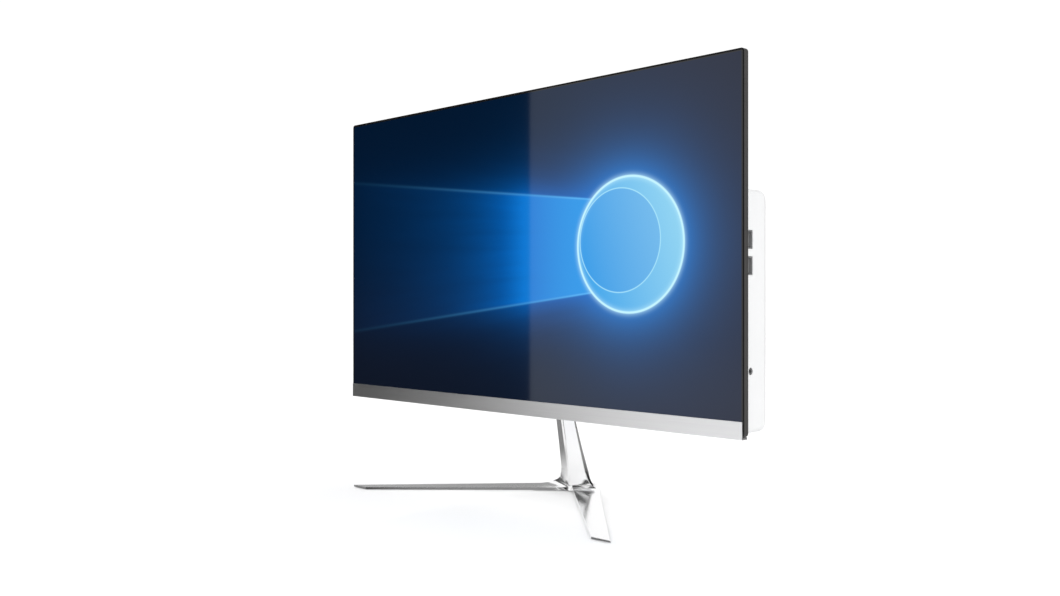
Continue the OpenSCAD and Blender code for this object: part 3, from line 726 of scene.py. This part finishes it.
def add_frame():
    """Black frame: rounded outer edges, a fine lip round the glass and a flange behind."""
    centre_z, half_w, half_h = middle_and_halves(frame_low, frame_high)
    front, back = frame_low.y, frame_high.y

    def outline_at(inset, y):
        radius = max(3.0 - inset, 0.6)
        return upright(round_rectangle(half_w - inset, half_h - inset, radius, 6), y, centre_z)

    section = [(1.2, front + 0.25), (1.0, front + 0.06), (0.8, front), (0.4, front)]
    section += [(0.12, front + 0.12), (0, front + 0.4), (0, back - 0.5), (0.15, back - 0.15)]
    section += [(0.5, back), (12, back), (12, back - 0.9), (3.4, back - 0.9), (3.4, back - 4.2)]
    section += [(1.2, back - 4.2), section[0]]
    shape = loft([outline_at(inset, y) for inset, y in section], caps=False)
    mesh = tidy_normals(mesh_from("display_frame", *shape, BLACK))
    smooth(add_piece("display_frame", mesh, "display", "black_frame", "mid_frame"), 50)


# How far the chin's ends stop short of the CAD's
SHORT_OF_CAD = 1.2


def add_chin():
    """Silver chin: an angle with finely broken edges, wrapped under the frame."""
    low, high = box_mm("chin_bar")
    front, back, top, bottom = low.y, high.y, high.z, low.z
    glass_y, sole = frame_low.y, frame_low.z
    half = high.x - SHORT_OF_CAD
    side = [(front, bottom), (back, bottom), (back, sole), (glass_y, sole), (glass_y, top)]
    side += [(front, top)]
    shape = loft([[(x, y, z) for y, z in side] for x in (-half, half)])
    mesh = tidy_normals(mesh_from("chin", *shape, SILVER))
    round_edges(add_piece("chin", mesh, "display", "silver_chin", "chin_bar"), 0.25)


add_glass()
add_frame()
add_chin()


# ---- rear cover ----

cover_low, cover_high = box_mm("rear_cover")
BUMP_HALF, BUMP_LOW, BUMP_TOP = 262.0, 90.0, 289.3
BUMP_MIDDLE = (BUMP_LOW + BUMP_TOP) / 2
JOINT_Y, BACK_Y, THIN_BACK = cover_low.y, cover_high.y, cover_low.y + 4.2
EDGE_R, CORNER_R, WALL, SHEET_HALF = 12.0, 6.0, 2.5, 263.5


def bump_rings(inset, front):
    """Outlines of the thick housing from its open front to its rounded back."""
    half_w, half_h = BUMP_HALF - inset, (BUMP_TOP - BUMP_LOW) / 2 - inset
    radius, back = EDGE_R - inset, BACK_Y - inset
    rings = [upright(round_rectangle(half_w, half_h, CORNER_R), front, BUMP_MIDDLE)]
    for step in range(13):
        angle = math.radians(90 * step / 12)
        shrink = radius * (1 - math.cos(angle))
        y = back - radius + radius * math.sin(angle)
        corner = CORNER_R + shrink * 0.8
        outline = round_rectangle(half_w - shrink, half_h - shrink, corner)
        rings.append(upright(outline, y, BUMP_MIDDLE))
    return rings


def slot_outline(w, h):
    return round_rectangle(w / 2, h / 2, min(w, h) / 2 - 0.001)


# Where things are, in millimetres, on the face that each is on
COVER_SCREWS = [(-190, 277), (190, 277), (-128, 104), (0, 104), (128, 104)]
WALL_MOUNT = [(x, z) for x in (-50, 50) for z in (140, 240)]
SIDE_USB_Z = (226.5, 247.8)
SIDE_PORT_Y = -14.0
JACK_Y, JACK_Z = -13.4, 140.8
SOCKETS_Z, INLET_X, USB_X = 144, -204, (-132, -104)
HINGE_WINDOW, REAR_RECESS = (0, 201), (-145, SOCKETS_Z)
BUTTON, LOCK_SLOT = (236, 0), (-5.5, 112)
FOOT_PADS = [(0, 76, 7), (162, -80, 4), (-162, -80, 4)]

# How deep the cutters reach through a wall, and how far they stand out of it
THROUGH, PROUD = 5, 1


def cover_cutters():
    """Vents above and behind, speaker slots below, screws, posts, windows and sockets."""
    back = (BACK_Y - THROUGH, BACK_Y + PROUD)
    top = (BUMP_TOP - THROUGH, BUMP_TOP + PROUD)
    bottom = (BUMP_LOW - PROUD, BUMP_LOW + THROUGH)
    side_wall = (BUMP_HALF - 4, BUMP_HALF + PROUD)
    parts = []

    def hole(outline, axis, centre, span):
        parts.append(prism(outline, axis, centre, span))

    for side in (-1, 1):
        for i in range(16):
            hole(slot_outline(2.4, 12), "z", (side * (64.5 + 5 * i), -3), top)
        for i in range(-6, 7):
            for z in (209, 235):
                hole(slot_outline(2.4, 22), "y", (side * 102 + 5 * i, z), back)
        for i in range(-7, 8):
            hole(slot_outline(2, 14), "z", (side * 180 + 4 * i, -5), bottom)
    for at in COVER_SCREWS:
        hole(disc(3.3), "y", at, (-11, BACK_Y + PROUD))
    for at in WALL_MOUNT:
        hole(disc(5.2), "y", at, back)
    hole(round_rectangle(20, 35, 3, 6), "y", HINGE_WINDOW, back)
    hole(round_rectangle(71, 12, 1.5, 5), "y", REAR_RECESS, back)
    for z in SIDE_USB_Z:
        hole(round_rectangle(3.5, 7.7, 0.5, 4), "x", (SIDE_PORT_Y, z), side_wall)
    hole(disc(3.1), "x", (JACK_Y, JACK_Z), side_wall)
    hole(disc(5.1), "z", BUTTON, bottom)
    hole(round_rectangle(3.5, 1.5, 0.6, 4), "x", LOCK_SLOT, (-BUMP_HALF - PROUD, -BUMP_HALF + 4))
    return joined(parts)


def add_rear_cover():
    """Thin back sheet and thick housing in one shell, with its slots, windows and bosses."""
    piece = loose("rear_housing", loft(bump_rings(0, JOINT_Y)), WHITE)
    z0, z1 = BUMP_MIDDLE, cover_high.z
    steps = [(0, JOINT_Y), (0, THIN_BACK - 1.2), (0.35, THIN_BACK - 0.35), (1.2, THIN_BACK)]
    sheet = []
    for inset, y in steps:
        half_w, half_h = SHEET_HALF - inset, (z1 - z0) / 2 - inset
        outline = round_rectangle(half_w, half_h, CORNER_R - inset)
        sheet.append(upright(outline, y, (z0 + z1) / 2))
    cut(piece, loft(sheet), "UNION")
    cut(piece, loft(bump_rings(WALL, JOINT_Y - PROUD)))
    cut(piece, cover_cutters())
    for radius, start, end, operation in (
        (4.5, -16.9, BACK_Y - 1.5, "UNION"),
        (3.3, -9.5, BACK_Y + PROUD, "DIFFERENCE"),
    ):
        bosses = [prism(disc(radius), "y", at, (start, end)) for at in COVER_SCREWS]
        cut(piece, joined(bosses), operation)
    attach(piece, "display")
    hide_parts("rear_cover")
    smooth(piece, 40)


add_rear_cover()


# ---- sockets, screws, posts, button and pads ----

GOLD = plain_metal("contact_gold", (0.83, 0.62, 0.28), 0.25)
TONGUE = plain_plastic("socket_tongue", (0.19, 0.192, 0.196), 0.45)
PORT_METAL, PORT_BLACK = FINISHES["port_metal"], FINISHES["port_black"]


def add_group(name, body, slot, node, degrees, *groups):
    """A piece out of (material, parts) groups, smooth where it turns less than degrees."""
    piece = add_piece(name, grouped(name, *groups), body, slot, node)
    smooth(piece, degrees)


def add_side_usb_ports():
    low, high = box_mm("side_usb_ports")
    shells, tongues, contacts = [], [], []

    def outline(inset):
        return round_rectangle(3.4 - inset, 7.4 - inset, max(0.9 - inset, 0.15), 5)

    for z in SIDE_USB_Z:
        shells.append(cup(outline, "x", (SIDE_PORT_Y, z), low.x, high.x, 0.7, 12.6, 0.25))
        tongues.append(block(0.8, 5.7, 0.2, "x", (SIDE_PORT_Y + 1.2, z), low.x + 1, high.x - 2))
        for i in range(4):
            at = (SIDE_PORT_Y + 0.36, z - 3.5 + 7 * i / 3)
            contacts.append(block(0.12, 0.5, 0.05, "x", at, low.x + 2, high.x - 3))
        for side in (-1, 1):
            # The two springs that hold a plug stand a little off the shell.
            at = (SIDE_PORT_Y - 2.55, z + side * 3.2)
            contacts.append(block(0.14, 0.8, 0.1, "x", at, low.x + 4, high.x - 1.6))
    groups = ((PORT_METAL, shells), (TONGUE, tongues), (GOLD, contacts))
    add_group("side_usb_sockets", "display", "port_metal", "side_usb_ports", 35, *groups)


def add_headphone_jack():
    low, high = box_mm("headphone_jack")
    at = (JACK_Y, JACK_Z)
    profile = [(2.9, high.x - 4), (2.9, high.x - 0.3), (2.6, high.x), (2.05, high.x)]
    collar = turned("x", at, profile + [(1.8, high.x - 0.25), (1.8, low.x + 2)])
    middle = ((JACK_Y - 2.8 + high.y) / 2, JACK_Z)
    body = block((high.y - JACK_Y + 2.8) / 2, 3, 0.3, "x", middle, low.x, high.x - 2.8)
    body = hollowed(body, turned("x", at, [(2.0, low.x + 1.5), (2.0, high.x)]))
    springs = [block(0.3, 0.12, 0.05, "x", (JACK_Y, JACK_Z + side * 1.62), low.x + 4, low.x + 9)
               for side in (-1, 1)]
    groups = ((PORT_BLACK, [body]), (TONGUE, [collar]), (GOLD, springs))
    add_group("jack_socket", "display", "port_black", "headphone_jack", 35, *groups)


def add_dc_inlet():
    low, high = box_mm("dc_inlet")
    at = (INLET_X, SOCKETS_Z)
    profile = [(4.5, high.y - 2), (4.5, high.y - 0.25), (4.3, high.y), (3.1, high.y)]
    barrel = turned("y", at, profile + [(2.85, high.y - 0.2), (2.85, high.y - 10)])
    hollow = turned("y", at, [(3.0, high.y - 10), (3.0, high.y)])
    base = hollowed(block(5, 6, 0.5, "y", at, low.y, 7), hollow)
    tip = high.y - 1.4
    pin = turned("y", at, [(0.8, tip - 10), (0.8, tip - 0.5), (0.62, tip - 0.15), (0.3, tip)], 20)
    groups = ((PORT_BLACK, [barrel, base]), (PORT_METAL, [pin]))
    add_group("power_inlet", "display", "port_black", "dc_inlet", 35, *groups)


def add_video_port():
    low, high = box_mm("video_port")
    x, z = (low.x + high.x) / 2, (low.z + high.z) / 2

    def outline(inset):
        w, h = 8 - inset, 4 - inset
        return [(-w, h), (-w, -h * 0.45), (-w + 0.5, -h * 0.62), (-w + 2.0, -h * 0.95),
                (-w + 2.6, -h), (w - 2.6, -h), (w - 2.0, -h * 0.95), (w - 0.5, -h * 0.62),
                (w, -h * 0.45), (w, h)]

    shell = cup(outline, "y", (x, z), low.y, high.y, 0.9, 9, 0.25)
    tongue = block(5.5, 0.5, 0.15, "y", (x, z - 0.1), high.y - 9.8, high.y - 1.4)
    contacts = [block(0.22, 0.08, 0.03, "y", (x - 4.5 + i, z - 0.62), high.y - 8.5, high.y - 2)
                for i in range(10)]
    groups = ((PORT_METAL, [shell]), (PORT_BLACK, [tongue]), (GOLD, contacts))
    add_group("video_socket", "display", "port_metal", "video_port", 35, *groups)


def add_network_port():
    low, high = box_mm("network_port")
    x, z = (low.x + high.x) / 2, (low.z + high.z) / 2

    def outline(inset):
        return round_rectangle(8 - inset, 7 - inset, max(0.6 - inset, 0.1), 4)

    shell = cup(outline, "y", (x, z), low.y, high.y, 1.6, 12, 0.3)
    ledges = [block(1.4, 1.2, 0.2, "y", (x + side * 4.6, z - 4.2), high.y - 11.9, high.y - 0.8)
              for side in (-1, 1)]
    contacts = [
        block(0.22, 0.15, 0.05, "y", (x - 3.57 + 1.02 * i, z + 3.6), high.y - 11.9, high.y - 3)
        for i in range(8)
    ]
    lamps = [block(1.1, 0.7, 0.2, "y", (x + side * 4.8, z + 4.6), high.y - 6, high.y - 0.6)
             for side in (-1, 1)]
    groups = ((PORT_METAL, [shell]), (PORT_BLACK, ledges), (GOLD, contacts))
    groups += ((FINISHES["emitter_strip"], lamps),)
    add_group("network_socket", "display", "port_metal", "network_port", 35, *groups)


def add_rear_usb_ports():
    low, high = box_mm("rear_usb_ports")
    shells, tongues, contacts = [], [], []
    mouths = (SOCKETS_Z - 4.4, SOCKETS_Z + 4.4)
    for x in USB_X:
        outer = block(7.2, 8.5, 0.5, "y", (x, SOCKETS_Z), low.y, high.y, 0.25)
        hollows = [block(6.3, 2.7, 0.4, "y", (x, z), high.y + 1, high.y - 9.4) for z in mouths]
        shells.append(hollowed(outer, joined(hollows)))
        for z in mouths:
            tongues.append(block(5.6, 0.8, 0.2, "y", (x, z + 1.2), high.y - 9.9, high.y - 1.4))
            for i in range(4):
                at = (x - 3.5 + 7 * i / 3, z + 0.36)
                contacts.append(block(0.5, 0.1, 0.04, "y", at, high.y - 9, high.y - 2.4))
    groups = ((PORT_METAL, shells), (TONGUE, tongues), (GOLD, contacts))
    add_group("rear_usb_sockets", "display", "port_metal", "rear_usb_ports", 35, *groups)


def add_cover_screws():
    low, high = box_mm("cover_screws")
    parts, crosses = [], []
    for x, z in COVER_SCREWS:
        profile = [(0.5, low.y), (1.25, low.y + 0.8)]
        y = low.y + 0.8
        while y < high.y - 2.6:
            profile += [(1.5, y + 0.2), (1.25, y + 0.5)]
            y += 0.5
        profile += [(1.5, high.y - 2), (2.8, high.y - 2), (2.8, high.y - 0.6)]
        profile += [(2.55, high.y - 0.2), (2.0, high.y)]
        parts.append(turned("y", (x, z), profile, 28))
        for w, h in ((1.6, 0.32), (0.32, 1.6)):
            crosses.append(block(w, h, 0.05, "y", (x, z), high.y + 1, high.y - 1.1, 0.05))
    mesh = grouped("cover_screw_set", (FINISHES["dark_screws"], parts))
    piece = add_piece("cover_screw_set", mesh, "display", "dark_screws", "cover_screws")
    cut(piece, joined(crosses[0::2]))
    cut(piece, joined(crosses[1::2]))
    smooth(piece, 35)


def add_wall_mount_posts():
    low, high = box_mm("wall_mount_posts")
    posts = []
    for x, z in WALL_MOUNT:
        profile = [(5, low.y), (5, high.y - 0.3), (4.75, high.y), (2.5, high.y)]
        y = high.y - 0.5
        while y > high.y - 12:
            profile += [(2.05, y), (2.3, y - 0.4)]
            y -= 0.8
        posts.append(turned("y", (x, z), profile, 36))
    add_group("wall_mount_bosses", "display", "steel_posts", "wall_mount_posts", 35,
              (FINISHES["steel_posts"], posts))


def add_power_button():
    low, high = box_mm("power_button")
    at = ((low.x + high.x) / 2, (low.y + high.y) / 2)
    z = low.z
    cap = [(0.6, z + 0.32), (2.4, z + 0.26), (3.6, z + 0.12), (4.3, z), (4.7, z + 0.06),
           (4.93, z + 0.25), (5.0, z + 0.55), (5.0, high.z - 0.75), (6.2, high.z - 0.75),
           (6.4, high.z - 0.55), (6.4, high.z - 0.2), (6.2, high.z)]
    add_group("power_key", "power_button", "button_cap", "power_button", 40,
              (FINISHES["button_cap"], [turned("z", at, cap, 48)]))


def add_foot_pads():
    pads = []
    for x, y, radius in FOOT_PADS:
        profile = [(radius * 0.3, 0.25), (radius * 0.55, 0.25), (radius * 0.6, 0)]
        profile += [(radius * 0.9, 0), (radius, 0.3), (radius, 1.5)]
        pads.append(turned("z", (x, y), profile))
    group = (FINISHES["pad_rubber"], pads)
    add_group("rubber_feet", "stand", "pad_rubber", "foot_pads", 40, group)


add_side_usb_ports()
add_headphone_jack()
add_dc_inlet()
add_video_port()
add_network_port()
add_rear_usb_ports()
add_cover_screws()
add_wall_mount_posts()
add_power_button()
add_foot_pads()


# ---- stand ----


def curve(points, steps):
    """A smooth curve through points, with steps + 1 points for each stretch."""
    points = [Vector(p) for p in points]
    ends = [points[0] * 2 - points[1]] + points + [points[-1] * 2 - points[-2]]
    line = []
    for a, b, c, d in zip(ends, ends[1:], ends[2:], ends[3:]):
        for k in range(steps):
            t = k / steps
            bend, twist = 2 * a - 5 * b + 4 * c - d, 3 * b - a - 3 * c + d
            line.append(0.5 * (2 * b + (c - a) * t + bend * t * t + twist * t * t * t))
    return line + [points[-1]]


def between(value, table):
    """Reads a value off a short table of (key, value) pairs, in rising order of key."""
    for (k0, v0), (k1, v1) in zip(table, table[1:]):
        if value <= k1:
            share = max(0.0, (value - k0) / (k1 - k0))
            return v0 + (v1 - v0) * share
    return table[-1][1]


def grid_faces(rows):
    """Quads over rows of point numbers, all rows the same length."""
    faces = []
    for lower, upper in zip(rows, rows[1:]):
        for i in range(len(lower) - 1):
            faces.append((lower[i], lower[i + 1], upper[i + 1], upper[i]))
    return faces


SEAM_Z = 22.0
NECK_TOP = box_mm("stand_neck")[1].z
LEAN = math.tan(math.radians(10.1))
SOLE_Z = 0.6


def crease(z):
    """How far back the neck's front is at a height, as the neck leans."""
    return 51.3 - LEAN * (z - SEAM_Z)


def neck_ring(z):
    """A narrow front flat, two facets, narrow sides and a flat back with broken corners."""
    half = between(z, [(22, 16.6), (48, 14.3), (74, 12.5), (120, 11.0), (178, 10.4)])
    setback = between(z, [(22, 7.6), (74, 4.8), (178, 3.0)])
    side = between(z, [(22, 5.4), (48, 3.7), (74, 2.6), (178, 2.2)])
    depth = between(z, [(22, 14.7), (74, 11.0), (178, 10.0)])
    flat = between(z, [(22, 2.0), (74, 1.3), (178, 1.0)])
    y = crease(z)
    right = [(flat, y + setback * flat / half), (half, y + setback)]
    right += [(half, y + setback + side), (half * 0.6, y + depth)]
    left = [(-a, b) for a, b in reversed(right)]
    return [(a, b, z) for a, b in right + left]


def mark_edges(mesh, rounded, crisp):
    """Marks edges, given as pairs of point numbers, for rounding or to stay crisp."""
    rounded, crisp = ({frozenset(pair) for pair in pairs} for pairs in (rounded, crisp))
    weights = mesh.attributes.new("bevel_weight_edge", "FLOAT", "EDGE")
    for edge in mesh.edges:
        pair = frozenset(edge.vertices)
        if pair in rounded:
            weights.data[edge.index].value = 1.0
        if pair in crisp:
            edge.use_edge_sharp = True


def ring_pairs(ring):
    """Neighbours round a closed ring of point numbers."""
    return zip(ring, ring[1:] + ring[:1])


def round_marked(piece, width, segments):
    """Rounds only the edges that mark_edges marked."""
    round_edges(piece, width, segments)
    piece.modifiers["round_edges"].limit_method = "WEIGHT"


def add_neck():
    """Polished neck, from a hair above the seam up to the neck head."""
    heights = [SEAM_Z + 0.04, *range(28, 178, 6), NECK_TOP]
    rings = [neck_ring(z) for z in heights]
    mesh = mesh_from("neck", *loft(rings), POLISHED)
    size = len(rings[0])
    last = size * (len(rings) - 1)
    ends = [*ring_pairs(list(range(size))), *ring_pairs(list(range(last, last + size)))]
    mark_edges(mesh, [(i, i + size) for i in range(last)], ends)
    tidy_normals(mesh)
    round_marked(add_piece("neck", mesh, "stand", "polished_stand", "stand_neck"), 0.55, 4)


# Lines along the right half of the foot, from the seam down and out to where the leg runs
# straight. The front wall runs from FLOOR_IN up to TOP_IN, and the facet and the leg's top
# from there to TOP_OUT. RIM is where the plate's rim lies below each point of TOP_OUT.
FLOOR_IN = [
    (0, 52.05, 22), (0, 52.75, 18), (0, 53.4, 14), (0, 53.9, 10.8), (0, 54.1, 8.2),
    (0, 54.0, 5.4), (0, 53.7, 2.8), (0, 53.0, 0.6), (4, 51.9, 0.6), (9.2, 48.6, 0.6),
]
TOP_IN = [
    (2.0, 52.25, 22), (2.1, 52.95, 18), (2.35, 53.55, 14), (2.7, 54.05, 11.2), (3.0, 54.4, 8.2),
    (3.3, 54.3, 6.0), (3.8, 53.4, 4.4), (6.2, 51.7, 3.8), (9.4, 49.0, 3.5), (13.2, 45.6, 3.3),
]
TOP_OUT = [
    (16.6, 58.9, 22), (17.1, 59.4, 18), (18.1, 59.7, 14.6), (19.7, 59.8, 12.2),
    (21.9, 59.8, 10.2), (24.9, 59.9, 8.7), (28.6, 60.4, 7.2), (32.8, 60.3, 5.6),
    (37.2, 58.0, 4.3), (41.6, 53.6, 3.6),
]
RIM = [
    (32.0, 63.9), (32.4, 63.5), (32.8, 63.1), (33.3, 62.6), (33.9, 62.0), (34.5, 61.4),
    (35.2, 60.7), (36.1, 59.7), (37.2, 58.0),
]
# The rim round the back of the hub, and the seam's corners above it
BACK_RIM = [
    (0, 89.4), (8.2, 86.6), (12.6, 83.4), (20, 76.2), (26.5, 69.9), (29, 67.4), (30.8, 65.6),
]
BACK_SEAM = [
    (0, 66.0), (5, 66.0), (9.96, 66.0), (13.4, 65.1), (16.6, 64.3), (16.6, 62.5), (16.6, 60.7),
]
RIM_Z = 4.4
# The sides spread a little from the rim down to the sole: away from the hub's middle where
# the hub is round, behind HUB_BACK_Y, and sideways on the legs.
HUB_Y, HUB_BACK_Y, SPREAD = 73.1, 84, 0.45
# Which points of the lines end the front wall, bend from the neck into the legs, and end
# the flare
ON_SOLE, BEND, FLARE = 7, 6, 8
# Width of a leg's end, and how high its two top corners are
LEG_TIP, TIP_IN_Z, TIP_OUT_Z = 21.8, 2.5, 2.4
# Points along each stretch of a line, across a leg, down the flare and along a leg
STEPS, ACROSS, DOWN, ALONG = 6, 6, 9, 16


def add_foot():
    """Polished V: the neck's facets bend into the legs' tops, and the hub flares behind."""
    low, high = box_mm("stand_foot")
    tip_y, tip_x = low.y, high.x
    tip_in = tip_x - LEG_TIP
    lines = []
    for line, end in (
        (FLOOR_IN, (tip_in, tip_y, SOLE_Z)),
        (TOP_IN, (tip_in + 0.7, tip_y, TIP_IN_Z)),
        (TOP_OUT, (tip_x - 0.7, tip_y, TIP_OUT_Z)),
    ):
        bent = curve(line[: BEND + 1], STEPS) + curve(line[BEND:], STEPS)[1:]
        start, end = Vector(line[-1]), Vector(end)
        lines.append(bent + [start.lerp(end, k / ALONG) for k in range(1, ALONG + 1)])
    floor_in, top_in, top_out = lines
    on_sole, join = ON_SOLE * STEPS, FLARE * STEPS
    for p in floor_in[: on_sole + 1]:
        p.x = 0
    for p in floor_in[on_sole:]:
        p.z = SOLE_Z

    points, rounded, crisp = [], [], []

    def half(side):
        def at(p):
            points.append(Vector((p[0] * side, p[1], p[2])))
            return len(points) - 1

        a, b, c = ([at(p) for p in line] for line in lines)
        rows = [b]
        for k in range(1, ACROSS):
            rows.append([at(p.lerp(q, k / ACROSS)) for p, q in zip(top_in, top_out)])
        rows.append(c)
        faces = grid_faces([a, b]) + grid_faces(rows)
        fold = [row[BEND * STEPS] for row in rows]
        crisp.extend(zip(fold, fold[1:]))

        # Seam corners round the back, then down the outer edge: each starts a column that
        # sweeps down and out to the rim of the plate.
        starts = [(x, y, SEAM_Z) for x, y in BACK_SEAM] + top_out[:join]
        rims = BACK_RIM + [(p.x, p.y) for p in curve([(x, y, 0) for x, y in RIM], STEPS)[:join]]
        columns = []
        for i, (top, rim) in enumerate(zip(starts, rims)):
            outer = i - len(BACK_SEAM)
            top = Vector(top)
            rise = (top_out[join].z - RIM_Z) * (max(0, outer) / join)
            end = Vector((*rim, RIM_Z + rise))
            pull = top.lerp(end, 0.18)
            pull.z = end.z + (top.z - end.z) * 0.12
            column = []
            for t in (k / DOWN for k in range(DOWN + 1)):
                column.append(top * (1 - t) ** 2 + pull * 2 * t * (1 - t) + end * t * t)
            first = c[outer] if outer >= 0 else at(column[0])
            columns.append([first] + [at(p) for p in column[1:]])
        faces += grid_faces(columns)
        # Beyond the flare the rim is the leg's own outer top edge.
        faces.append((*columns[-1], c[join]))
        rim = [column[-1] for column in columns] + c[join:]
        sole = []
        for n in rim:
            x, y = abs(points[n].x), points[n].y
            out = Vector((x, y - HUB_Y) if y > HUB_BACK_Y else (1, 1)).normalized()
            sole.append(at((x + out.x * SPREAD, max(y + out.y * SPREAD, tip_y), SOLE_Z)))
        faces += grid_faces([rim, sole])
        tip = [a[-1], b[-1]] + [row[-1] for row in rows[1:]] + [sole[-1]]
        faces.append(tuple(tip))
        rounded.extend([b, c, rim, sole, a[on_sole:], tip + [tip[0]]])
        rounded.extend(columns[k][:8] for k in (2, 4))
        seam = [a[0]] + [row[0] for row in rows]
        seam += [column[0] for column in reversed(columns[: len(BACK_SEAM)])]
        return faces, seam, sole, a[on_sole:]

    right, right_seam, right_sole, right_in = half(1)
    left, left_seam, left_sole, left_in = half(-1)
    faces = right + [tuple(reversed(f)) for f in left]
    faces += [tuple(reversed(right_seam)), tuple(left_seam)]
    faces.append((*reversed(right_in), *right_sole))
    faces.append((*left_in, *reversed(left_sole)))

    mesh = bpy.data.meshes.new("foot")
    mesh.from_pydata([p * MM for p in points], [], faces)
    mesh.materials.append(POLISHED)
    pairs = [pair for line in rounded for pair in zip(line, line[1:])]
    mark_edges(mesh, pairs, [*ring_pairs(right_seam), *ring_pairs(left_seam), *crisp])
    tidy_normals(mesh)
    round_marked(add_piece("foot", mesh, "stand", "polished_stand", "stand_foot"), 0.5, 3)


add_neck()
add_foot()
